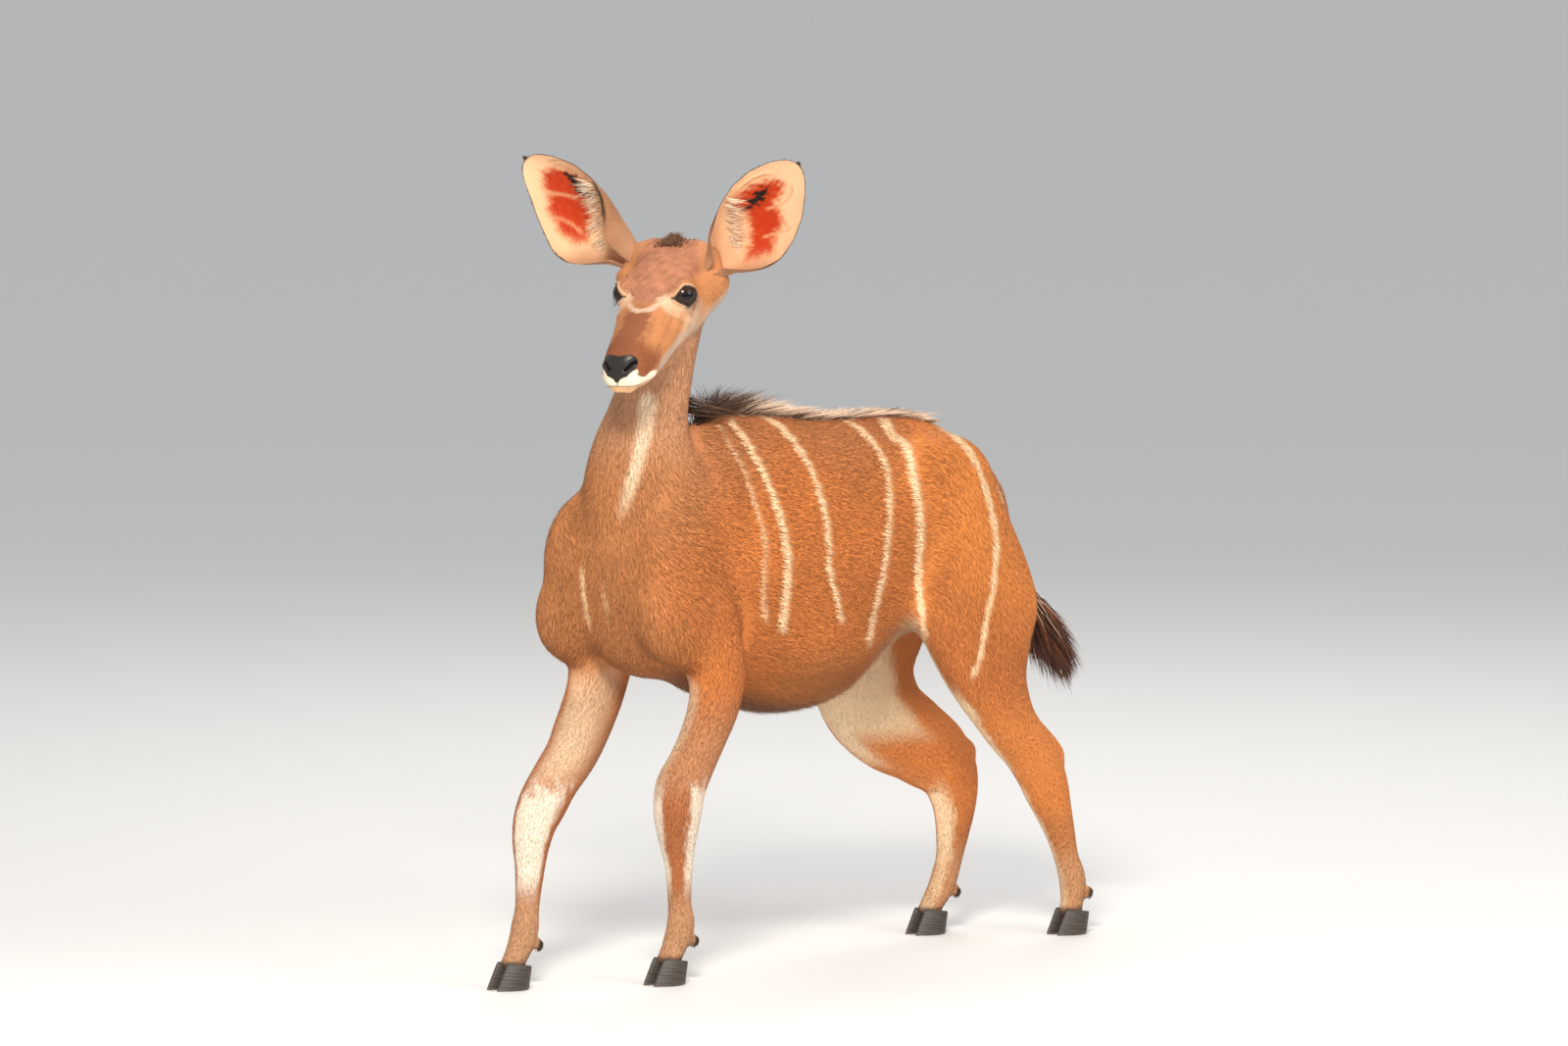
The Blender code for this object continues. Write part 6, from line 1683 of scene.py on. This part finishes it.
def ear_hair(side, word, front, behind, n, i, k, material, rng):
    """Short hair on the back, fine hair inside the cup with fewer on the red, and the cream fringe of the inner edge.
    """
    rows, columns = EAR_ROWS, EAR_COLUMNS
    thin = 1.0
    pieces = []

    def sample(grid, r, c):
        r0, c0 = np.minimum(r.astype(int), rows - 1), np.minimum(c.astype(int), columns - 1)
        x, y = (r - r0)[:, None], (c - c0)[:, None]
        return (grid[r0, c0] * (1 - x) * (1 - y) + grid[r0 + 1, c0] * x * (1 - y)
                + grid[r0, c0 + 1] * (1 - x) * y + grid[r0 + 1, c0 + 1] * x * y)

    def tufts(label, count, face, r, c, length, width, lift, turn, rings=1, colour=None, spread=0.2):
        grid = front if face > 0 else behind
        root = sample(grid, r, c)
        normal = sample(n, r, c) * face
        normal /= np.linalg.norm(normal, axis=1)[:, None]
        up_way = sample(grid, np.minimum(r + 1, rows), c) - sample(grid, np.maximum(r - 1, 0), c)
        side_way = sample(grid, r, np.minimum(c + 1, columns)) - sample(grid, r, np.maximum(c - 1, 0))
        up_way /= np.linalg.norm(up_way, axis=1)[:, None]
        side_way /= np.linalg.norm(side_way, axis=1)[:, None]
        angle = turn + rng.normal(size=len(r)) * spread
        way = up_way * np.cos(angle)[:, None] + side_way * np.sin(angle)[:, None]
        way -= normal * np.einsum("ij,ij->i", way, normal)[:, None]
        way /= np.linalg.norm(way, axis=1)[:, None]
        if colour is None:
            colour = paint_ear(side, root, r / rows, c / columns, face > 0)
        tint = colour * (0.85 + 0.3 * rng.random(len(r)))[:, None]
        size = length * (0.7 + 0.6 * rng.random(len(r)))
        patches = np.stack([0.02 + 0.44 * c / columns + (0.5 if face < 0 else 0.0), 0.02 + 0.95 * r / rows], axis=1)
        return strands(f"coat_ear_{word}_{label}", root, normal, way, size,
                       width * (0.7 + 0.6 * rng.random(len(r))), tint, lift * (0.6 + 0.8 * rng.random(len(r))),
                       material, curl=-normal * (size * 0.10)[:, None], rings=rings, patches=patches, sink=0.0005)

    count = int(9000 * thin)
    pieces.append(tufts("back", count, -1, rng.random(count) * rows, rng.random(count) * columns,
                        0.0075, 0.0011, 0.16, 0.0))
    count = int(6500 * thin)
    r = rng.random(count) * rows
    c = rng.random(count) * columns
    edge = np.minimum(np.minimum(c / columns, 1 - c / columns), (1 - r / rows) * 1.6)
    red = inside(photo_xy(sample(front, r, c)), EAR_RED[side]) > 2.0
    keep = rng.random(count) < np.where(red, 0.25, 1.0)
    r, c, edge = r[keep], c[keep], edge[keep]
    outward_turn = np.where(c < columns / 2, 1.0, -1.0) * 0.5
    pieces.append(tufts("inside", len(r), 1, r, c, 0.0062, 0.0009, 0.10, outward_turn, spread=0.35))
    # the long cream fringe, rooted along the inner edge as the photograph shows it, lying across the cup
    count = int(5000 * thin)
    r = (0.10 + 0.70 * rng.random(count)) * rows
    c = rng.random(count) * columns
    root = sample(front, r, c)
    far, along_line = near_line(photo_xy(root), curve(EAR_FRINGE[side], 3.0))
    faces_view = sample(n, r, c) @ TO_CAMERA > 0.05
    keep = (far < 4.0 * rng.random(count) + 1.0) & faces_view
    r, c, along_line = r[keep], c[keep], along_line[keep]
    aim = RIGHT * side - ABOVE * (0.05 + 0.50 * along_line)[:, None] + TO_CAMERA * 0.12
    count = len(r)
    root = sample(front, r, c)
    way = aim + ABOVE * (rng.normal(size=count) * 0.20)[:, None] + TO_CAMERA * (rng.random(count) * 0.20)[:, None]
    way /= np.linalg.norm(way, axis=1)[:, None]
    size = 0.034 * (0.45 + 0.75 * rng.random(count)) * (1 - 0.30 * along_line)
    cream = np.tile((0.98, 0.80, 0.60), (count, 1)) * (0.85 + 0.20 * rng.random(count))[:, None]
    patches = np.stack([0.02 + 0.44 * c / columns, 0.02 + 0.95 * r / rows], axis=1)
    toward = np.tile(TO_CAMERA, (count, 1))
    pieces.append(strands(f"coat_ear_{word}_fringe", root, toward, way, size, 0.0009 + 0.0005 * rng.random(count),
                          cream, np.zeros(count), material, curl=-toward * (size * 0.20)[:, None], rings=2,
                          patches=patches, sink=0.0, flat=0.20, tip_shade=1.05, root_shade=0.95))
    return pieces


# Tail
TAIL = [
    (-0.395, 0.000, 0.790, 0.018, 0.018, 0.018),
    (-0.436, 0.000, 0.782, 0.022, 0.020, 0.020),
    (-0.474, 0.000, 0.745, 0.021, 0.018, 0.018),
    (-0.496, 0.000, 0.690, 0.019, 0.016, 0.017),
    (-0.510, 0.000, 0.635, 0.019, 0.016, 0.017),
    (-0.531, 0.000, 0.585, 0.019, 0.016, 0.017),
    (-0.562, 0.000, 0.545, 0.018, 0.015, 0.016),
    (-0.591, 0.000, 0.515, 0.014, 0.012, 0.013),
    (-0.612, 0.000, 0.490, 0.007, 0.006, 0.006),
]




def tail_piece(skin_mat):
    rows = [list(r) for r in TAIL]
    for r in rows:
        for j in (3, 4, 5):
            r[j] = max(r[j] - 0.004, 0.002)
    verts, faces = tube([tuple(r) for r in rows], step=0.006, ring=40)
    obj = make("kudu_tail", verts, faces)
    set_colours(obj.data, "paint", paint_tail(verts))
    set_colours(obj.data, "wet", np.zeros(len(verts)))
    obj.data.polygons.foreach_set("use_smooth", np.ones(len(obj.data.polygons), bool))
    obj.data.materials.append(skin_mat)
    return obj


def tail_places(rng, count, low, high):
    """Points round the tail between two shares of its length: root, outward, along and the share."""
    rows = fill([r[:4] for r in TAIL], 0.01)
    line, half = rows[:, :3], rows[:, 3] - 0.004
    way = np.gradient(line, axis=0)
    way /= np.linalg.norm(way, axis=1)[:, None]
    t = low + (high - low) * (np.arange(count) + rng.random(count)) / count
    x = t * (len(line) - 1)
    i = np.minimum(x.astype(int), len(line) - 2)
    w = (x - i)[:, None]
    centre = line[i] * (1 - w) + line[i + 1] * w
    along = way[i]
    radius = half[i] * (1 - w[:, 0]) + half[i + 1] * w[:, 0]
    behind = np.cross(along, (0, 1.0, 0))
    behind /= np.linalg.norm(behind, axis=1)[:, None]
    turn = tau * rng.random(count)
    out = behind * np.cos(turn)[:, None] + np.array([0, 1.0, 0]) * np.sin(turn)[:, None]
    return centre + out * np.maximum(radius, 0.002)[:, None], out, along, t, turn


def paint_tail(p):
    """Orange above, white beneath and at the sides, dark in the brush."""
    rows = fill([r[:4] for r in TAIL], 0.01)
    far = np.stack([np.linalg.norm(p - r[:3], axis=1) for r in rows], axis=1)
    near = far.argmin(axis=1)
    t = near / (len(rows) - 1)
    way = np.gradient(rows[:, :3], axis=0)
    way /= np.linalg.norm(way, axis=1)[:, None]
    behind = np.cross(way[near], (0, 1.0, 0))
    d = p - rows[near, :3]
    d /= np.maximum(np.linalg.norm(d, axis=1), 1e-9)[:, None]
    top = np.einsum("ij,ij->i", d, behind)
    colour = np.tile((0.84, 0.60, 0.40), (len(p), 1))
    colour = lay(colour, RUMP, smooth(-top, -0.2, 0.5))
    colour = lay(colour, (0.050, 0.020, 0.011), smooth(t, 0.60, 0.72))
    return colour


def tail_hair(material, rng):
    thin = 1.0
    pieces = []
    count = int(6000 * thin)
    root, out, along, t, turn = tail_places(rng, count, 0.06, 0.72)
    size = (0.012 + 0.026 * smooth(t, 0.35, 0.70)) * (0.7 + 0.6 * rng.random(count))
    colour = paint_tail(root + out * 0.003) * (0.82 + 0.36 * rng.random(count))[:, None]
    patches = np.stack([0.02 + 0.9 * turn / tau, 0.02 + 0.9 * t], axis=1)
    pieces.append(strands("coat_tail_short", root, out, along, size, np.full(count, 0.0017), colour,
                          0.22 + 0.15 * rng.random(count), material, curl=-out * (size * 0.12)[:, None], patches=patches))
    count = int(4600 * thin)
    root, out, along, t, turn = tail_places(rng, count, 0.46, 0.99)
    size = (0.036 + 0.050 * smooth(t, 0.55, 0.80)) * (0.65 + 0.5 * rng.random(count))
    dark = np.array([0.050, 0.020, 0.011])
    colour = np.tile(dark, (count, 1)) * (0.6 + 1.0 * rng.random(count))[:, None]
    red = rng.random(count) < 0.30
    colour[red] = np.array([0.20, 0.055, 0.020]) * (0.7 + 0.6 * rng.random(int(red.sum())))[:, None]
    white = (t < 0.62 + 0.08 * rng.normal(size=count)) & (out[:, 1] > -0.6)
    colour[white] = np.array([0.78, 0.55, 0.36]) * (0.8 + 0.3 * rng.random(int(white.sum())))[:, None]
    lean = 0.32 + 0.38 * rng.random(count) - 0.12 * smooth(t, 0.8, 1.0)
    curl = -out * (size * (0.14 + 0.20 * rng.random(count)))[:, None]
    curl[:, 2] -= 0.22 * size
    pieces.append(strands("coat_tail_brush", root, out, along, size, 0.0015 + 0.0014 * rng.random(count), colour, lean,
                          material, curl=curl, rings=3, patches=np.stack([0.02 + 0.9 * turn / tau, 0.02 + 0.9 * t], axis=1),
                          tip_shade=1.3, root_shade=0.8))
    return pieces


# A row is forward, left, up of the root line, length, backward lean and width.
CREST = [
    (0.234, 0.010, 0.945, 0.046, 0.70, 0.030),
    (0.216, 0.004, 0.916, 0.066, 0.50, 0.034),
    (0.190, 0.001, 0.907, 0.062, 0.55, 0.034),
    (0.156, 0.000, 0.903, 0.046, 0.85, 0.032),
    (0.100, 0.000, 0.901, 0.034, 1.2, 0.028),
    (0.030, 0.000, 0.896, 0.026, 1.5, 0.025),
    (-0.050, 0.000, 0.892, 0.025, 1.7, 0.024),
    (-0.180, 0.000, 0.886, 0.024, 1.7, 0.024),
    (-0.260, 0.000, 0.878, 0.018, 1.9, 0.022),
    (-0.310, 0.000, 0.866, 0.010, 2.2, 0.020),
]


# Mane of the nape and withers, crest of the back and the tuft between the ears
def crest_hair(skin, material, rng):
    tree = BVHTree.FromObject(skin, bpy.context.evaluated_depsgraph_get())
    rows = fill(CREST, 0.004)
    slope = np.gradient(rows[:, :3], axis=0)
    slope /= np.linalg.norm(slope, axis=1)[:, None]
    per = 16
    count = len(rows) * per
    pick = np.repeat(np.arange(len(rows)), per)
    side = rng.normal(size=count) * 0.0036
    start = rows[pick, :3] + slope[pick] * (rng.random(count) * 0.006)[:, None]
    start[:, 1] += side
    root = np.empty((count, 3))
    normal = np.empty((count, 3))
    for i in range(count):
        hit, face, _, _ = tree.find_nearest(Vector(place(start[i])))
        root[i], normal[i] = flu(hit), turned(face)
    along = slope[pick]
    rise = UP - along * along[:, 2:3]
    steep = abs(along[:, 2]) > 0.7
    rise[steep] = along[steep] * along[steep, 0:1] - np.array([1.0, 0, 0])
    rise /= np.linalg.norm(rise, axis=1)[:, None]
    lean = rows[pick, 4] * (0.75 + 0.5 * rng.random(count))
    way = rise + along * lean[:, None] + np.array([0, 1.0, 0]) * (side * 38)[:, None]
    way += rng.normal(size=(count, 3)) * 0.07
    way /= np.linalg.norm(way, axis=1)[:, None]
    length = rows[pick, 3] * (0.75 + 0.5 * rng.random(count)) * np.hypot(1.0, 0.55 * lean)
    f, u = root[:, 0], root[:, 2]
    colour = np.tile((0.16, 0.075, 0.038), (count, 1))
    mane = smooth(f, 0.112, 0.140) * smooth(1.02 - u, 0, 0.04)
    colour = lay(colour, (0.035, 0.018, 0.010), mane)
    brown = mane * (rng.random(count) < 0.35)
    colour = lay(colour, (0.15, 0.065, 0.030), brown)
    white = smooth(0.135 - f, 0, 0.02) * (rng.random(count) < 0.80)
    colour = lay(colour, (0.80, 0.60, 0.45), white)
    middle = smooth(-f, 0.16, 0.20) * smooth(0.33 + f, 0, 0.05) * (abs(side) < 0.0022)
    colour = lay(colour, (0.14, 0.062, 0.032), middle)
    colour = colour * (0.8 + 0.4 * rng.random(count))[:, None]
    curl = along * (length * 0.30)[:, None] + np.array([0, 1.0, 0]) * (side * 6 * length / 0.03)[:, None]
    shares, _, spot = survey(root)
    # the strands leave along their own way, so the normal given to them, square to that way and to the side, only sets
    # their cross section
    across_from = np.cross(way, np.array([0, 1.0, 0]))
    across_from /= np.linalg.norm(across_from, axis=1)[:, None]
    return strands("coat_crest", root - rise * 0.002, across_from, way, length, 0.0013 + 0.0009 * rng.random(count), colour,
                   np.zeros(count), material, curl=curl, rings=3, patches=unwrap(shares, spot), flat=0.5, sink=0.0,
                   tip_shade=1.25)


def topknot_hair(skin, material, rng):
    tree = BVHTree.FromObject(skin, bpy.context.evaluated_depsgraph_get())
    count = 520
    a = -0.012 + 0.034 * rng.random(count)
    s = rng.normal(size=count) * 0.011
    root = np.empty((count, 3))
    normal = np.empty((count, 3))
    for i in range(count):
        hit, face, _, _ = tree.find_nearest(Vector(place(on_head(a[i], s[i], 0.030))))
        root[i], normal[i] = flu(hit), turned(face)
    way = HEAD_RISE * 0.75 - HEAD_ALONG * 0.65 + np.outer(s * 30, HEAD_SIDE) + rng.normal(size=(count, 3)) * 0.15
    way /= np.linalg.norm(way, axis=1)[:, None]
    length = 0.0075 * (0.6 + 0.8 * rng.random(count)) * (1 - 0.4 * smooth(abs(s), 0.008, 0.022))
    colour = np.tile((0.17, 0.080, 0.048), (count, 1)) * (0.6 + 1.0 * rng.random(count))[:, None]
    shares, _, spot = survey(root)
    facing = np.cross(way, HEAD_SIDE)
    facing /= np.linalg.norm(facing, axis=1)[:, None]
    return strands("coat_topknot", root, facing, way, length, np.full(count, 0.0009), colour, np.zeros(count), material,
                   curl=-HEAD_ALONG * 0.003 + np.zeros((count, 3)), rings=2, patches=unwrap(shares, spot), sink=0.001)


def lash_hair(side, word, material, rng):
    """The lashes of the upper lid."""
    centre, level, over, aim = eye_frame(side)
    count = 46
    t = np.linspace(-0.95, 0.25, count) + rng.normal(size=count) * 0.01
    x = LID_WIDE * t
    y = LID_TALL * np.sqrt(np.maximum(1 - t ** 2, 0)) * (1 - 0.25 * abs(t)) + 0.0004
    z = np.sqrt(np.maximum(EYE_RADIUS ** 2 - x ** 2 - y ** 2, 0))
    out = (np.outer(x, level) + np.outer(y, over) + np.outer(z, aim)) / EYE_RADIUS
    root = centre + out * (EYE_RADIUS + LID_LIFT + 0.0004)
    way = aim * 0.75 + np.outer(np.full(count, 0.35), over) + np.outer(0.75 * t, level) - HEAD_RISE * 0.12
    way /= np.linalg.norm(way, axis=1)[:, None]
    length = 0.0085 * (0.75 + 0.4 * rng.random(count)) * (1 - 0.35 * abs(t) ** 2)
    colour = np.tile((0.012, 0.008, 0.006), (count, 1))
    patches = np.stack([0.5 + 0.4 * t, np.full(count, 0.5)], axis=1)
    return strands("lashes_" + word, root, out, way, length, np.full(count, 0.0004), colour, np.zeros(count), material,
                   curl=np.outer(length * 0.30, over) - np.outer(length * 0.05, aim), rings=2, patches=patches, sink=0.0006)


# Building
def own(piece, slot_name, *nodes):
    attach(piece, "root")
    if nodes:
        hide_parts(*nodes)


skin_mat = skin_material()
hair_mat = hair_material("kudu hair", 0.58)
long_mat = hair_material("kudu long hair", 0.50)
skin = skin_object()
co, no = read_mesh(skin.data)
skin_p, skin_n = flu(co), turned(no)
skin_shares, _, _ = survey(skin_p)
set_colours(skin.data, "paint", paint(skin_p, skin_n, skin_shares))
set_colours(skin.data, "wet", wetness(skin_p, skin_n))
skin.data.materials.append(skin_mat)
own(skin, "torso_coat", "torso", "neck", "head", *LEGS)

for piece, part in coat(skin, hair_mat):
    own(piece, part + "_coat")
rng = np.random.default_rng(5)
own(crest_hair(skin, long_mat, rng), "torso_coat")
own(topknot_hair(skin, long_mat, rng), "head_coat")
own(tail_piece(skin_mat), "tail_coat", "tail")
for piece in tail_hair(long_mat, rng):
    own(piece, "tail_coat")
for side, word in ((1, "left"), (-1, "right")):
    own(eye_piece(side, word), f"eye_{word}_eye", "eye_" + word)
    ear, *shape = ear_piece(side, word, skin_mat)
    own(ear, f"ear_{word}_ear", "ear_" + word)
    for piece in ear_hair(side, word, *shape, hair_mat, rng):
        own(piece, f"ear_{word}_ear")
    own(lash_hair(side, word, long_mat, rng), "head_coat")
horn = horn_material()
for name, (foot, sides) in FEET.items():
    for side, where in sides:
        node = f"{name}_{where}"
        piece = hoof_piece("kudu_" + node, foot, side)
        piece.data.materials.append(horn)
        piece.data.polygons.foreach_set("use_smooth", np.ones(len(piece.data.polygons), bool))
        own(piece, node + "_hoof", node)


# Floor, light and camera
FLOOR_REACH = 400.0
corners = np.array([(-1, -1, 0), (1, -1, 0), (1, 1, 0), (-1, 1, 0)]) * FLOOR_REACH
floor = make("floor", corners, [(0, 1, 2, 3)], placed=True)
mat, tree, shader = principled("floor", 0.75, 0.2)
noise = add(tree, "ShaderNodeTexNoise", Scale=1.5, Detail=3.0)
ramp = add(tree, "ShaderNodeMapRange")
ramp.inputs["To Min"].default_value = 0.72
ramp.inputs["To Max"].default_value = 0.75
join = add(tree, "ShaderNodeCombineColor")
tree.links.new(noise.outputs["Fac"], ramp.inputs["Value"])
for channel in ("Red", "Green", "Blue"):
    tree.links.new(ramp.outputs["Result"], join.inputs[channel])
tree.links.new(join.outputs["Color"], shader.inputs["Base Color"])
floor.data.materials.append(mat)


def lamp(name, azimuth, elevation, distance, size, power, tint):
    """A soft light that looks at the middle of the animal, placed as seen from the photograph's view."""
    a, e = radians(VIEW_AZIMUTH + azimuth), radians(elevation)
    at = place(AIM_POINT + distance * np.array([cos(a) * cos(e), sin(a) * cos(e), sin(e)]))
    light = bpy.data.lights.new(name, "AREA")
    light.shape = "DISK"
    light.size = size
    light.energy = power
    light.color = tint
    obj = bpy.data.objects.new(name, light)
    obj.location = at
    obj.rotation_euler = (Vector(place(AIM_POINT)) - Vector(at)).to_track_quat("-Z", "Y").to_euler()
    bpy.context.collection.objects.link(obj)


lamp("key", -4.0, 34.0, 5.0, 1.2, 262.0, (1.0, 0.94, 0.84))
lamp("fill", 62.0, 22.0, 5.0, 3.0, 75.0, (1.0, 0.96, 0.90))
lamp("rim", 170.0, 45.0, 5.0, 2.5, 90.0, (1.0, 0.95, 0.88))
world = bpy.data.worlds.new("studio")
world.use_nodes = True
world.node_tree.nodes["Background"].inputs["Color"].default_value = (0.93, 0.94, 0.95, 1)
world.node_tree.nodes["Background"].inputs["Strength"].default_value = 0.66
bpy.context.scene.world = world

camera = bpy.data.cameras.new("camera")
camera.sensor_width = 36.0
camera.lens = camera.sensor_width * VIEW_DISTANCE / VIEW_WIDTH
camera.clip_end = 100.0
eye = bpy.data.objects.new("camera", camera)
bpy.context.collection.objects.link(eye)
eye.location = place(AIM_POINT + TO_CAMERA * VIEW_DISTANCE)
eye.rotation_euler = (Vector(place(AIM_POINT)) - eye.location).to_track_quat("-Z", "Y").to_euler()
bpy.context.scene.camera = eye
bpy.context.scene.view_settings.view_transform = "Standard"

bpy.context.view_layer.update()
